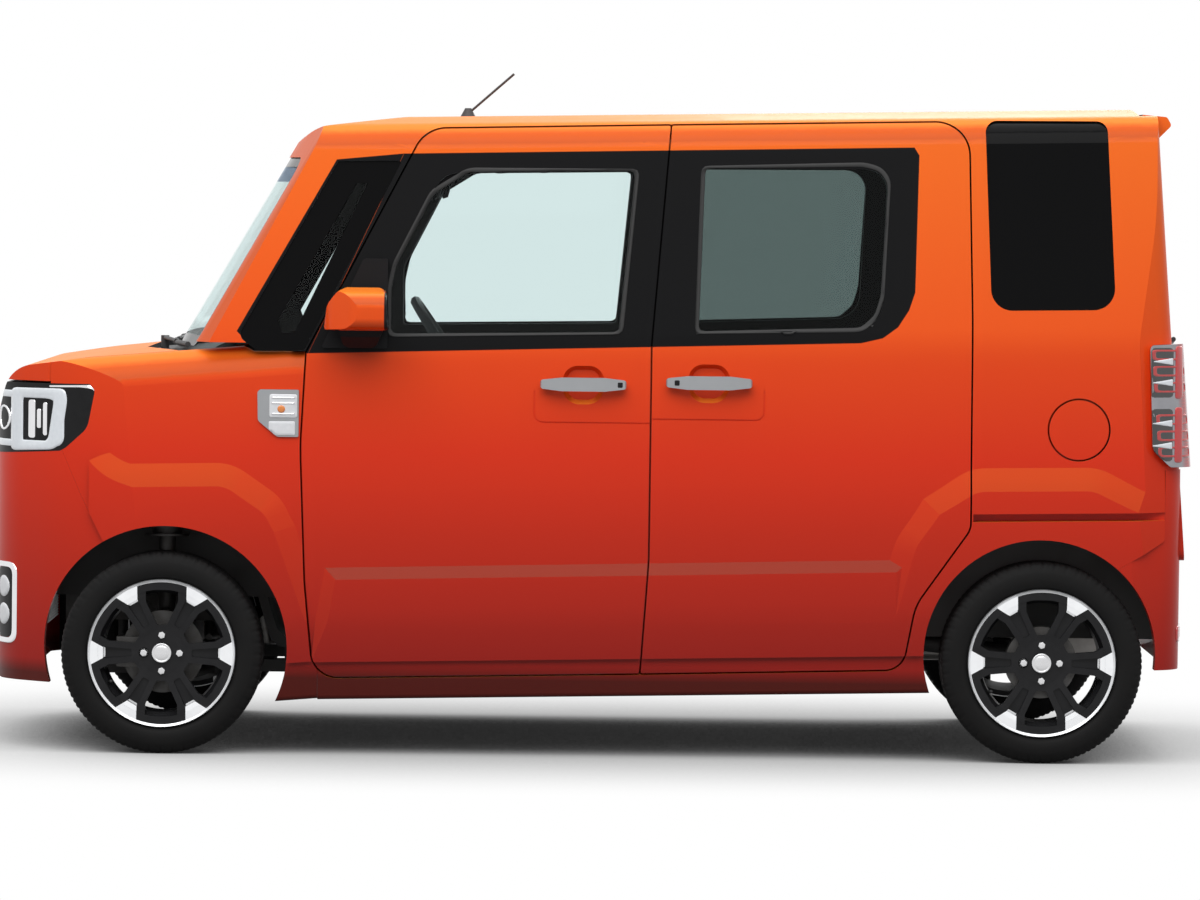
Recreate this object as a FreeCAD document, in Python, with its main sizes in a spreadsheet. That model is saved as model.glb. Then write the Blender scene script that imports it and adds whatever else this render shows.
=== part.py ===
"""Tall kei car: a five door box wagon with sliding rear doors, in millimetres.

+X is forward, +Y is the car's left and +Z is up.  The origin is on the ground, under
the centre of the car's box.
"""
import FreeCAD, Part
import Sketcher
import math
import os

V = FreeCAD.Vector
UP = V(0, 0, 1)
ACROSS = V(0, 1, 0)

doc = FreeCAD.newDocument("kei_car")

# ------------------------------------------------------------------ driving sizes
SIZES = (
    # alias, millimetres
    ("car_length", 3395),
    ("half_width", 737.5),
    ("roof_height", 1835),
    ("wheelbase", 2455),
    ("front_overhang", 525),
    ("front_track", 1305),
    ("rear_track", 1295),
    ("tyre_radius", 281),
    ("tyre_width", 165),
    ("bead_radius", 190),
    ("lip_radius", 207),
    ("front_arch_clearance", 61),
    ("rear_arch_clearance", 43),
    ("sill_height", 198),
    ("belt_height", 1175),
    ("flare_step", 13),
    ("wall", 58),
    ("roof_wall", 28),
    ("skin", 22),
    ("seat_gap", 0.3),
    ("glass_wall", 4),
    ("panel_gap", 5),
    ("front_door_length", 971),
    ("disc_radius", 115),
    ("disc_wall", 10),
    ("drum_radius", 100),
    ("bolt_circle", 50),
    ("nut_radius", 11.5),
    ("engine_lift", 64),
    ("tank_length", 640),
    ("tank_width", 670),
    ("tank_depth", 94.7),
    ("spring_radius", 50),
    ("wheel_rim_radius", 185),
    ("fuel_lid_radius", 83),
    ("plate_bolt_radius", 3.5),
    ("plate_bolt_half_spacing", 105),
)
sheet = doc.addObject("Spreadsheet::Sheet", "Sizes")
for row, (alias, value) in enumerate(SIZES, start=1):
    sheet.set("A%d" % row, alias)
    sheet.set("B%d" % row, str(value))
    sheet.setAlias("B%d" % row, alias)
doc.recompute()
size = {alias: float(sheet.get(alias)) for alias, value in SIZES}

# ------------------------------------------------------------------ stations and levels
NOSE = size["car_length"] / 2
TAIL = -NOSE
FRONT_AXLE = NOSE - size["front_overhang"]
REAR_AXLE = FRONT_AXLE - size["wheelbase"]
AXLE_HEIGHT = size["tyre_radius"]
A_SHUT = FRONT_AXLE - 384
B_SHUT = A_SHUT - size["front_door_length"]
C_SHUT = REAR_AXLE + 206
HALF = size["half_width"]
ROOF = size["roof_height"]
SILL = size["sill_height"]
BELT = size["belt_height"]
STEP = size["flare_step"]
WALL = size["wall"]
SKIN = size["skin"]
GAP = size["panel_gap"]
SEAT = size["seat_gap"]
RAKE = -0.022
FAR = 3000


def raked(x, level):
    """Height at x of a body line that lies at this level over the rear axle."""
    return level + RAKE * (x - REAR_AXLE)


# ------------------------------------------------------------------ outlines
def signed_area(outline):
    area = 0
    for here, (a, b, radius) in enumerate(outline):
        after = outline[(here + 1) % len(outline)]
        area += a * after[1] - after[0] * b
    return area / 2


def inset(outline, gaps):
    """The outline with each edge moved inwards by its own gap (edge i starts at point i)."""
    count = len(outline)
    if not isinstance(gaps, (list, tuple)):
        gaps = [gaps] * count
    turn = 1 if signed_area(outline) > 0 else -1
    lines = []
    for here in range(count):
        a, b = outline[here], outline[(here + 1) % count]
        run = math.hypot(b[0] - a[0], b[1] - a[1])
        ux, uy = (b[0] - a[0]) / run, (b[1] - a[1]) / run
        nx, ny = -uy * turn, ux * turn
        lines.append((a[0] + nx * gaps[here], a[1] + ny * gaps[here], ux, uy))
    moved = []
    for here in range(count):
        px, py, ux, uy = lines[here - 1]
        qx, qy, vx, vy = lines[here]
        cross = ux * vy - uy * vx
        reach = ((qx - px) * vy - (qy - py) * vx) / cross
        middle = (gaps[here - 1] + gaps[here]) / 2
        round_end = outline[here][2] - middle * (1 if cross * turn > 0 else -1)
        if outline[here][2] == 0:
            round_end = 0
        moved.append((px + ux * reach, py + uy * reach, max(round_end, 0)))
    return moved


def rounded_wire(outline, place):
    """Closed wire of straight runs joined by tangent arcs; place(a, b) gives the point."""
    count = len(outline)
    arcs = []
    for here in range(count):
        ax, ay = outline[here - 1][:2]
        bx, by, radius = outline[here]
        cx, cy = outline[(here + 1) % count][:2]
        back, ahead = math.hypot(ax - bx, ay - by), math.hypot(cx - bx, cy - by)
        ux, uy = (ax - bx) / back, (ay - by) / back
        vx, vy = (cx - bx) / ahead, (cy - by) / ahead
        half = math.acos(max(-1, min(1, ux * vx + uy * vy))) / 2
        reach = radius / math.tan(half)
        limit = 0.49 * min(back, ahead)
        if reach > limit:
            reach = limit
            radius = limit * math.tan(half)
        if reach < 0.05 or radius < 0.05:
            arcs.append((place(bx, by),))
            continue
        mx, my = ux + vx, uy + vy
        length = math.hypot(mx, my)
        depth = radius / math.sin(half) - radius
        start = place(bx + ux * reach, by + uy * reach)
        middle = place(bx + mx / length * depth, by + my / length * depth)
        end = place(bx + vx * reach, by + vy * reach)
        arcs.append((start, middle, end))
    edges = []
    for here in range(count):
        corner, after = arcs[here], arcs[(here + 1) % count]
        if len(corner) == 3:
            edges.append(Part.Arc(*corner).toShape())
        if corner[-1].distanceToPoint(after[0]) > 0.01:
            edges.append(Part.LineSegment(corner[-1], after[0]).toShape())
    return Part.Wire(edges)


PLACES = {
    "side": lambda low: lambda x, z: V(x, low, z),
    "top": lambda low: lambda x, y: V(x, y, low),
    "front": lambda low: lambda y, z: V(low, y, z),
}
RUNS = {
    "side": lambda run, lean: V(0, run, lean * run),
    "top": lambda run, lean: V(lean * run, 0, run),
    "front": lambda run, lean: V(run, 0, lean * run),
}


def prism(view, outline, low, high, lean=0):
    """Solid whose outline is seen in the view, from low to high, with a lean per unit."""
    wire = rounded_wire(outline, PLACES[view](low))
    return Part.Face(wire).extrude(RUNS[view](high - low, lean))


def frustum(view, outline, low, high, slope):
    """Raised pad whose outline, drawn at high, spreads by slope on its way to low."""
    if signed_area(outline) > 0:
        outline = list(reversed(outline))
    top = rounded_wire(outline, PLACES[view](high))
    foot = rounded_wire(inset(outline, -slope), PLACES[view](low))
    return Part.makeLoft([foot, top], True, True)


def box(x1, x2, y1, y2, z1, z2):
    return Part.makeBox(x2 - x1, y2 - y1, z2 - z1, V(x1, y1, z1))


def rod(start, end, radius):
    run = end - start
    return Part.makeCylinder(radius, run.Length, start, run)


def mirrored(shape):
    return shape.mirror(V(0, 0, 0), ACROSS)


def pair(shape):
    return Part.makeCompound([shape, mirrored(shape)])


def both_sides(half_outline):
    """Closed outline from its +Y half, whose first coordinate is the y."""
    return list(half_outline) + [(-p[0], p[1], p[2]) for p in reversed(half_outline)]


def fused(shapes):
    whole = shapes[0]
    if len(shapes) > 1:
        whole = whole.fuse(list(shapes[1:]))
    return whole.removeSplitter()


# ------------------------------------------------------------------ body surfaces
SECTION = (
    # y, z over the rear axle, corner radius, what the edge to the next point is
    (HALF - 34, SILL, 20, "side"),
    (HALF - 9, SILL + 222, 500, "side"),
    (HALF, SILL + 520, 3000, "side"),
    (HALF - 5, BELT, 600, "side"),
    (HALF - 76, ROOF - 37, 90, "top"),
    (HALF * 0.45, ROOF - 8, 3000, "top"),
)
section_outline = both_sides([row[:3] for row in SECTION])
kinds = [row[3] for row in SECTION]
section_kinds = kinds + kinds[-2::-1] + ["floor"]

HEADER = (
    # x, z, radius: the roof's line on the centre plane over the windscreen
    (A_SHUT + 170, ROOF - 210, 0),
    (A_SHUT - 30, ROOF - 82, 160),
    (A_SHUT - 290, ROOF - 46, 500),
)
header_outline = list(HEADER) + [
    (TAIL, ROOF + 60, 0),
    (TAIL - 300, -100, 0),
    (FRONT_AXLE + 600, -100, 0),
    (FRONT_AXLE + 600, ROOF - 600, 0),
]
SCREEN_LEAN = -0.585
screen_foot = A_SHUT + 354
screen_half = [
    # y, x at belt height, radius: the bowed windscreen in plan
    (HALF + 20, TAIL - 485, 0),
    (HALF + 20, screen_foot - 130, 60),
    (HALF - 90, screen_foot - 72, 120),
    (HALF * 0.42, screen_foot, 1500),
]
TAIL_LEAN = 0.076
tail_line = TAIL + 47
tail_half = [
    (HALF + 20, FRONT_AXLE + 500, 0),
    (HALF + 20, tail_line + 180, 60),
    (HALF - 70, tail_line + 12, 75),
    (HALF * 0.4, tail_line, 2000),
]


bumper_half = [
    (HALF + 6, REAR_AXLE + 300, 0),
    (HALF + 6, TAIL + 190, 300),
    (HALF - 60, TAIL + 32, 110),
    (HALF * 0.5, TAIL, 2500),
]


def swapped(outline):
    return [(b, a, r) for a, b, r in outline]


def tail_block(side=0.0, rear=0.0):
    """Volume of the rear bumper with its walls moved inwards."""
    moves = {"side": side, "top": 0, "floor": 0}
    start = TAIL - 200
    gaps = [moves[kind] for kind in section_kinds]
    foot = [(y, z + RAKE * (start - REAR_AXLE), r) for y, z, r in inset(section_outline, gaps)]
    hull = prism("front", foot, start, REAR_AXLE, RAKE)
    plan = inset(swapped(both_sides(bumper_half)), [side, side, rear, rear, rear, side, side, 0])
    return hull.common(prism("top", plan, 0, FAR / 2))


def cabin(side=0.0, top=0.0, front=0.0, rear=0.0, floor=0.0):
    """Cabin volume with its walls moved inwards by these amounts."""
    moves = {"side": side, "top": top, "floor": floor}
    gaps = [moves[kind] for kind in section_kinds]
    start = TAIL - 200
    foot = [(y, z + RAKE * (start - REAR_AXLE), r) for y, z, r in inset(section_outline, gaps)]
    hull = prism("front", foot, start, FRONT_AXLE + 400, RAKE)
    roof_gaps = [top, top, top, 0, 0, 0, 0]
    hull = hull.common(prism("side", inset(header_outline, roof_gaps), -FAR / 3, FAR / 3))
    screen = swapped(both_sides(screen_half))
    screen = inset(screen, [0, front, front, front, front, front, 0, 0])
    drop = SCREEN_LEAN * (-BELT)
    screen = [(x + drop, y, r) for x, y, r in screen]
    hull = hull.common(prism("top", screen, 0, FAR, SCREEN_LEAN))
    tail = swapped(both_sides(tail_half))
    tail = inset(tail, [0, rear, rear, rear, rear, rear, 0, 0])
    tail = [(x - TAIL_LEAN * BELT, y, r) for x, y, r in tail]
    return hull.common(prism("top", tail, 0, FAR, TAIL_LEAN))


NOSE_LEAN = -0.085
bonnet_height = raked(A_SHUT, BELT) + 20
nose_section = both_sides([
    (HALF - 34, raked(A_SHUT, SILL), 20),
    (HALF - 9, raked(A_SHUT, SILL + 222), 500),
    (HALF, raked(A_SHUT, SILL + 520), 3000),
    (HALF - 4, bonnet_height, 95),
    (HALF * 0.4, bonnet_height + 14, 2500),
])
nose_kinds = ["side", "side", "side", "top", "top", "top", "side", "side", "side", "floor"]
nose_plan_half = [
    # y, x, radius
    (HALF + 12, A_SHUT - 300, 0),
    (HALF + 12, FRONT_AXLE - 90, 1500),
    (HALF - 13, FRONT_AXLE + 248, 480),
    (HALF - 200, NOSE - 57, 260),
    (HALF * 0.25, NOSE, 2500),
]
nose_profile = [
    # x, z, radius
    (A_SHUT - 300, 100, 0),
    (FRONT_AXLE + 330, 100, 0),
    (FRONT_AXLE + 345, 190, 10),
    (NOSE - 45, 190, 30),
    (NOSE, 270, 80),
    (NOSE, 700, 300),
    (NOSE - 24, 880, 200),
    (NOSE - 80, 1068, 100),
    (FRONT_AXLE - 110, 1150, 0),
    (A_SHUT - 300, 1300, 0),
]


def nose(side=0.0, top=0.0, front=0.0):
    """Volume ahead of the doors with its walls moved inwards by these amounts."""
    moves = {"side": side, "top": top, "floor": 0}
    shape = inset(nose_section, [moves[kind] for kind in nose_kinds])
    start = A_SHUT - 300
    lift = NOSE_LEAN * (start - A_SHUT)
    hull = prism("front", [(y, z + lift, r) for y, z, r in shape], start, NOSE + 50, NOSE_LEAN)
    plan = inset(swapped(both_sides(nose_plan_half)), [side, side, side, front, front, front,
                                                       side, side, side, 0])
    hull = hull.common(prism("top", plan, 0, ROOF))
    profile = inset(nose_profile, [0, 0, 0, front, front, front, front, top, 0, 0])
    return hull.common(prism("side", profile, -FAR / 3, FAR / 3))


# ------------------------------------------------------------------ side outlines
belt_a = raked(A_SHUT, BELT) - 4
door_foot = SILL + 62
door_rise = ROOF - BELT - 33
PILLAR_LEAN = 326 / 627
corner_rise = door_rise - 95
front_door_outline = [
    # x, z, radius
    (A_SHUT - 10, belt_a, 8),
    (A_SHUT + 3, belt_a - 262, 800),
    (A_SHUT - 12, belt_a - 640, 800),
    (A_SHUT - 38, raked(A_SHUT, door_foot), 75),
    (B_SHUT + 21, raked(B_SHUT, door_foot), 6),
    (B_SHUT, raked(B_SHUT, door_foot) + 320, 300),
    (B_SHUT - 1, raked(B_SHUT, BELT) + 8, 60),
    (B_SHUT - 50, raked(B_SHUT, ROOF - 41), 6),
    (A_SHUT - 10 - PILLAR_LEAN * door_rise, raked(A_SHUT, ROOF - 37), 95),
]
sliding_door_outline = [
    (B_SHUT + 21, raked(B_SHUT, door_foot), 6),
    (B_SHUT, raked(B_SHUT, door_foot) + 320, 300),
    (B_SHUT - 1, raked(B_SHUT, BELT) + 8, 60),
    (B_SHUT - 50, raked(B_SHUT, ROOF - 41), 6),
    (C_SHUT + 13, raked(C_SHUT, ROOF - 41), 95),
    (C_SHUT, raked(C_SHUT, ROOF - 600), 2000),
    (C_SHUT - 2, raked(C_SHUT, SILL + 460), 60),
    (REAR_AXLE + 355, raked(C_SHUT, SILL + 245), 150),
    (REAR_AXLE + 388, raked(C_SHUT, door_foot), 60),
]
front_window = [
    (A_SHUT - 241, belt_a + 48, 8),
    (A_SHUT - 241, belt_a + 220, 40),
    (A_SHUT - 386, belt_a + 502, 75),
    (B_SHUT + 46, belt_a + 519, 12),
    (B_SHUT + 90, belt_a + 60, 12),
]
rear_window = [
    (B_SHUT - 122, raked(B_SHUT, BELT) + 39, 12),
    (B_SHUT - 134, raked(B_SHUT, BELT) + 498, 12),
    (C_SHUT + 238, raked(C_SHUT, BELT) + 482, 60),
    (C_SHUT + 254, raked(C_SHUT, BELT) + 38, 75),
]
corner_window = [
    (A_SHUT + 180 - 272 / 490 * (corner_rise - 42), belt_a + corner_rise, 6),
    (A_SHUT - 5 - 265 / 531 * (corner_rise - 1), belt_a + corner_rise + 3, 6),
    (A_SHUT - 5, belt_a + 4, 8),
    (A_SHUT + 130, belt_a + 3, 30),
    (A_SHUT + 180, belt_a + 42, 25),
]
quarter_window = [
    (C_SHUT - 31, raked(C_SHUT, ROOF - 38), 35),
    (REAR_AXLE - 166, raked(C_SHUT, ROOF - 36), 30),
    (REAR_AXLE - 193, raked(C_SHUT, BELT) + 98, 60),
    (C_SHUT - 53, raked(C_SHUT, BELT) + 92, 60),
]
headlight_outline = [
    (NOSE + 100, 1025, 0),
    (FRONT_AXLE + 208, 1028, 0),
    (FRONT_AXLE + 193, 1012, 20),
    (FRONT_AXLE + 214, 905, 60),
    (FRONT_AXLE + 290, 836, 80),
    (NOSE + 100, 818, 0),
]
bumper_edge = [
    # the seam between wing and bumper, then forward and down
    (FRONT_AXLE + 286, 840, 0),
    (FRONT_AXLE + 230, 716, 200),
    (FRONT_AXLE + 150, 560, 0),
    (FRONT_AXLE + 150, 190, 0),
    (NOSE + 100, 190, 0),
    (NOSE + 100, 815, 0),
]
front_flare = [
    # the valley where the flare leaves the wing
    (NOSE + 300, 560, 0),
    (FRONT_AXLE + 300, 708, 300),
    (FRONT_AXLE + 150, 800, 160),
    (FRONT_AXLE - 190, 808, 140),
    (FRONT_AXLE - 330, 716, 120),
    (A_SHUT + 20, 640, 60),
    (A_SHUT - 100, 60, 0),
    (NOSE + 300, 60, 0),
]
rear_flare = [
    (REAR_AXLE + 470, 60, 0),
    (REAR_AXLE + 400, 620, 160),
    (REAR_AXLE + 335, 735, 100),
    (REAR_AXLE + 205, 818, 140),
    (REAR_AXLE - 150, 824, 140),
    (REAR_AXLE - 290, 756, 120),
    (TAIL - 300, 735, 0),
    (TAIL - 300, 60, 0),
]
FLARE_BAND = 62
door_pad = [
    (A_SHUT - 80, raked(A_SHUT, SILL + 360), 60),
    (REAR_AXLE + 385, raked(C_SHUT, SILL + 360), 60),
    (REAR_AXLE + 420, raked(C_SHUT, SILL + 20), 80),
    (A_SHUT - 50, raked(A_SHUT, SILL + 20), 80),
]
tail_lamp_outline = [
    (TAIL + 126, 1172, 12),
    (TAIL - 100, 1182, 0),
    (TAIL - 100, 832, 0),
    (TAIL + 63, 832, 20),
    (TAIL + 116, 880, 40),
]
rear_bumper_outline = [
    (TAIL + 75, 824, 0),
    (TAIL + 75, 625, 12),
    (REAR_AXLE - 212, 548, 0),
    (REAR_AXLE - 200, 264, 0),
    (TAIL - 100, 264, 0),
    (TAIL - 100, 824, 0),
]
front_arch = (FRONT_AXLE - 7, AXLE_HEIGHT + 14, AXLE_HEIGHT + size["front_arch_clearance"])
rear_arch = (REAR_AXLE + 6, AXLE_HEIGHT + 21, AXLE_HEIGHT + size["rear_arch_clearance"])


def arch(place, grow=0.0, inner=380.0):
    x, z, radius = place
    return Part.makeCylinder(radius + grow, FAR, V(x, inner, z), ACROSS)


def side_cut(outline, grow=0.0, inner=300.0):
    """Cutter for the left side with the outline seen from the side."""
    if grow:
        outline = inset(outline, -grow)
    return prism("side", outline, inner, HALF + 60)


# ------------------------------------------------------------------ main volumes
left_side = box(-FAR, FAR, 300, FAR, 0, FAR)
cabin_skin = cabin(side=STEP)
cabin_flared = cabin()
RING = 46
cabin_wall = cabin(side=STEP + WALL, top=size["roof_wall"], front=45, rear=WALL, floor=60)
cabin_ring = cabin(side=STEP + WALL + 6, top=34, front=51, rear=WALL + 6, floor=66)
cabin_room = cabin(side=STEP + WALL + RING, top=size["roof_wall"], front=45, rear=WALL, floor=100)
nose_skin = nose(side=STEP)
nose_flared = nose()
nose_room = nose(side=STEP + 40, top=SKIN, front=55)


def raised(outline, band):
    """Raised pad on the left side that leaves the skin at the outline and rises over the band."""
    slope = band / STEP
    start = inset(outline, slope * (STEP + 12))
    return frustum("side", start, HALF - STEP - 9, HALF + 12, slope * (STEP + 21))


front_pad = raised(front_flare, FLARE_BAND)
rear_pad = raised(rear_flare, FLARE_BAND)
lower_pad = raised(door_pad, 36)
parts = {}


def keep(name, shape):
    parts[name] = shape


def main_solid(shape):
    """The largest solid, without the slivers that a cut leaves."""
    return max(shape.Solids, key=lambda solid: solid.Volume)


def keep_pair(name, shape):
    keep(name + "_left", shape)
    parts[name + "_right"] = mirrored(shape)


def wall_with(pads, room):
    """Left wall of the cabin with raised pads on it."""
    wall = cabin_skin.common(left_side)
    for pad in pads:
        wall = wall.fuse(cabin_flared.common(pad))
    return wall.cut(room)


# ------------------------------------------------------------------ doors
handle_places = (B_SHUT + 188, B_SHUT - 162)
handle_height = raked(B_SHUT, BELT) - 106


def handle_cup(x, z):
    cup = [(x + 68, z + 62, 52), (x - 68, z + 62, 52), (x - 68, z - 66, 58), (x + 68, z - 66, 58)]
    return frustum("side", cup, HALF - 36, HALF, -22)


def crease(x1, x2, high, low):
    """Pressed line that drops from high, turns at x1 and runs along low to x2."""
    turn = 1 if x2 < x1 else -1
    outer = [(x1, high, 0), (x1, low, 26), (x2, low, 0), (x2, high, 0)]
    inner = [(x1 - 5 * turn, high + 1, 0), (x1 - 5 * turn, low + 5, 21), (x2 - turn, low + 5, 0),
             (x2 - turn, high + 1, 0)]
    start = HALF - STEP - 6.5
    return prism("side", outer, start, HALF + 9).cut(prism("side", inner, start - 1, HALF + 10))


ROOF_EDGE = HALF - 160
FRAME_EDGE = ROOF_EDGE + 10
front_leaf = wall_with([lower_pad], cabin_wall)
front_leaf = front_leaf.common(side_cut(inset(front_door_outline, GAP / 2), 0, FRAME_EDGE))
front_leaf = front_leaf.cut(side_cut(front_window))
front_leaf = front_leaf.cut(handle_cup(handle_places[0], handle_height))
front_leaf = front_leaf.cut(crease(B_SHUT + 326, B_SHUT - 60, handle_height - 20, handle_height - 110))
keep_pair("front_door", front_leaf.removeSplitter())

sliding_leaf = wall_with([lower_pad, rear_pad], cabin_wall)
sliding_leaf = sliding_leaf.common(side_cut(inset(sliding_door_outline, GAP / 2), 0, FRAME_EDGE))
sliding_leaf = sliding_leaf.cut(side_cut(rear_window)).cut(arch(rear_arch, 12))
sliding_leaf = sliding_leaf.cut(handle_cup(handle_places[1], handle_height + 8))
sliding_leaf = sliding_leaf.cut(crease(B_SHUT - 319, B_SHUT + 60, handle_height - 12, handle_height - 98))
seal_gap = cabin_wall.cut(cabin_ring.translated(V(0, SEAT, 0))).common(left_side)
for x, z in ((C_SHUT + 22, SILL + 560), (B_SHUT - 34, SILL + 700), (B_SHUT - 200, SILL + 85)):
    sliding_leaf = sliding_leaf.fuse(seal_gap.common(box(x - 14, x + 14, 0, FAR, z - 12, z + 12)))
keep("sliding_doors", pair(sliding_leaf.removeSplitter()))

# ------------------------------------------------------------------ glass
GLASS = size["glass_wall"]
glass_layer = cabin(side=STEP + 5, top=5, front=5, rear=5).cut(
    cabin(side=STEP + 5 + GLASS, top=5 + GLASS, front=5 + GLASS, rear=5 + GLASS))
screen_outline = both_sides([
    (HALF - 97, belt_a + 10, 40),
    (HALF - 152, ROOF - 168, 70),
])
gate_window = both_sides([
    (HALF - 190, BELT - 5, 50),
    (HALF - 214, ROOF - 140, 60),
])


def side_glass(outline):
    return glass_layer.common(side_cut(inset(outline, SEAT), 0, 400))


keep_pair("front_door_glass", side_glass(front_window))
panes = [side_glass(outline) for outline in (rear_window, corner_window, quarter_window)]
keep("side_windows", Part.makeCompound(panes + [mirrored(pane) for pane in panes]))
keep("windscreen", glass_layer.common(prism("front", inset(screen_outline, SEAT), 300, NOSE)))
keep("tailgate_glass", glass_layer.common(prism("front", inset(gate_window, SEAT), TAIL, 0)))

# ------------------------------------------------------------------ tailgate
HINGE_X = TAIL + 152
gate_outline = both_sides([
    (HALF - 118, 566, 30),
    (HALF - 112, BELT, 400),
    (HALF - 150, ROOF - 52, 50),
])
gate_opening = inset([(y, z, min(radius, 25) if z > BELT else radius) for y, z, radius in gate_outline],
                     -GAP)
spoiler = prism("side", [
    (HINGE_X - 8, ROOF - 20, 0),
    (TAIL + 75, ROOF - 26, 10),
    (TAIL + 62, ROOF - 50, 10),
    (TAIL + 100, ROOF - 88, 0),
    (TAIL + 150, ROOF - 88, 0),
], -(ROOF_EDGE - 6), ROOF_EDGE - 6)
gate = cabin_skin.cut(cabin_wall).common(prism("front", gate_outline, TAIL - 50, HINGE_X - 4))
gate = gate.fuse(spoiler).cut(prism("front", gate_window, TAIL - 50, HINGE_X + 100))
gate = gate.cut(box(HINGE_X - 4, 0, -HALF, HALF, 0, FAR))
PLATE_BOLT = size["plate_bolt_radius"]
PLATE_HALF = size["plate_bolt_half_spacing"]
gate = gate.cut(box(TAIL - 50, TAIL + 30, -200, 200, 620, 810))
for y in (-PLATE_HALF, PLATE_HALF):
    gate = gate.cut(rod(V(TAIL, y, 780), V(TAIL + 50, y, 780), PLATE_BOLT))
keep("tailgate", gate.removeSplitter())

# ------------------------------------------------------------------ body sides and roof
LID_X = REAR_AXLE - 94
LID_Z = 934
side = wall_with([rear_pad], cabin_room)
outside_front = box(A_SHUT - 50, FAR, 300, FAR, 0, belt_a + 2)
outside_front = outside_front.fuse(side_cut([
    (A_SHUT + 100, belt_a - 100, 0), (A_SHUT + 138, belt_a, 0), (A_SHUT + 182, belt_a + 22, 0),
    (A_SHUT + 500, belt_a + 22, 0), (A_SHUT + 500, belt_a - 100, 0)]))
pockets = side_cut(inset(front_door_outline, -GAP / 2)).fuse(
    side_cut(inset(sliding_door_outline, -GAP / 2))).fuse(outside_front).cut(cabin_ring)
side = side.cut(pockets)
side = side.cut(box(A_SHUT + 30, FAR, 0, FAR, 0, belt_a + 24))
side = side.cut(box(A_SHUT - 10, FAR, 0, FAR, 0, belt_a - 0.3).cut(
    box(-FAR, A_SHUT + 30, 0, HALF - 80, 0, FAR)))
side = side.cut(side_cut(inset(front_door_outline, 42)))
side = side.cut(side_cut(inset(sliding_door_outline, 42)))
side = side.cut(side_cut(corner_window)).cut(side_cut(quarter_window))
side = side.cut(side_cut(inset(tail_lamp_outline, -0.15)))
side = side.cut(side_cut(inset(rear_bumper_outline, -SEAT)))
side = side.cut(arch(rear_arch, 0, 540))
side = side.cut(prism("front", gate_opening, TAIL - 50, HINGE_X + 160))
side = side.cut(prism("front", screen_outline, 500, FAR))
side = side.cut(box(-FAR, FAR, -FAR, ROOF_EDGE + SEAT, 700, FAR))
side = side.cut(box(-FAR, FAR, -FAR, HALF - 195, 0, FAR))
side = side.cut(Part.makeCylinder(size["fuel_lid_radius"] + GAP, 60,
                                  V(LID_X, HALF - STEP - 34, LID_Z), ACROSS))
rail = [
    (C_SHUT - 8, SILL + 498, 0),
    (TAIL + 68, SILL + 508, 0),
    (TAIL + 68, SILL + 486, 0),
    (C_SHUT - 8, SILL + 476, 0),
]
side = side.cut(side_cut(rail, 0, HALF - 45))
keep_pair("body_side", main_solid(side).removeSplitter())

roof = cabin_skin.cut(cabin_wall).common(box(-FAR, FAR, -ROOF_EDGE, ROOF_EDGE, ROOF - 260, FAR))
roof = roof.cut(prism("front", gate_opening, TAIL - 50, HINGE_X))
roof = roof.cut(box(-FAR, HINGE_X + 2, -FAR, FAR, 0, FAR))
roof = roof.cut(prism("front", screen_outline, 500, FAR))
keep("roof_panel", roof.removeSplitter())

lid = cabin_skin.common(
    Part.makeCylinder(size["fuel_lid_radius"], 60, V(LID_X, HALF - STEP - 13, LID_Z), ACROSS))
keep("fuel_lid", lid)

# ------------------------------------------------------------------ front end
nose_wall = nose_skin.fuse(nose_flared.common(front_pad)).cut(nose_room).common(left_side)
BONNET_EDGE = HALF - 100
bonnet_plan = swapped(both_sides([
    (BONNET_EDGE, NOSE + 80, 0),
    (BONNET_EDGE, A_SHUT + 345, 15),
    (HALF * 0.42, A_SHUT + 462, 400),
]))
wing_region = [
    (A_SHUT - 49, 60, 0),
    (A_SHUT - 49, belt_a, 0),
    (A_SHUT + 138, belt_a - 1, 0),
    (A_SHUT + 182, belt_a + 21, 0),
    (A_SHUT + 300, belt_a + 21, 0),
    (NOSE + 50, belt_a + 21, 0),
    (NOSE + 50, 60, 0),
]
garnish = [
    (A_SHUT + 124, belt_a - 105, 12),
    (A_SHUT + 8, belt_a - 105, 4),
    (A_SHUT + 8, belt_a - 237, 4),
    (A_SHUT + 68, belt_a - 237, 15),
    (A_SHUT + 122, belt_a - 192, 15),
]
wing = nose_wall.common(side_cut(wing_region))
wing = wing.cut(side_cut(inset(front_door_outline, -GAP / 2)))
wing = wing.cut(side_cut(inset(headlight_outline, -0.15)))
wing = wing.cut(side_cut(inset(bumper_edge, -SEAT)))
wing = wing.cut(arch(front_arch, 0, 300))
wing = wing.cut(prism("top", inset(bonnet_plan, -GAP), 700, FAR))
wing = wing.cut(box(-FAR, A_SHUT + 350, 0, HALF - 99, 0, FAR))
wing = wing.cut(box(-FAR, A_SHUT + 31, 0, HALF - 79, 0, FAR))
wing = wing.cut(side_cut(garnish, 0, HALF - STEP - 14))
keep("front_wings", pair(main_solid(wing).removeSplitter()))
keep("side_garnishes", pair(nose(side=STEP - 6).cut(nose(side=STEP + 9)).common(
    side_cut(inset(garnish, 0.3)))))

bonnet = nose_skin.cut(nose(side=STEP + SKIN, top=SKIN, front=SKIN)).common(
    prism("top", bonnet_plan, 1000, FAR)).cut(box(0, FAR, -FAR, FAR, 0, 1033))
keep("bonnet", bonnet.removeSplitter())

GRILLE_HALF = 324
lamp = nose_skin.cut(nose(side=STEP + 110, front=120)).common(
    side_cut(inset(headlight_outline, 0.15), 0, GRILLE_HALF + SEAT))
lamp = lamp.cut(prism("side", inset(bumper_edge, -SEAT), -FAR / 3, FAR / 3))
keep("headlights", pair(main_solid(lamp)))

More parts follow.
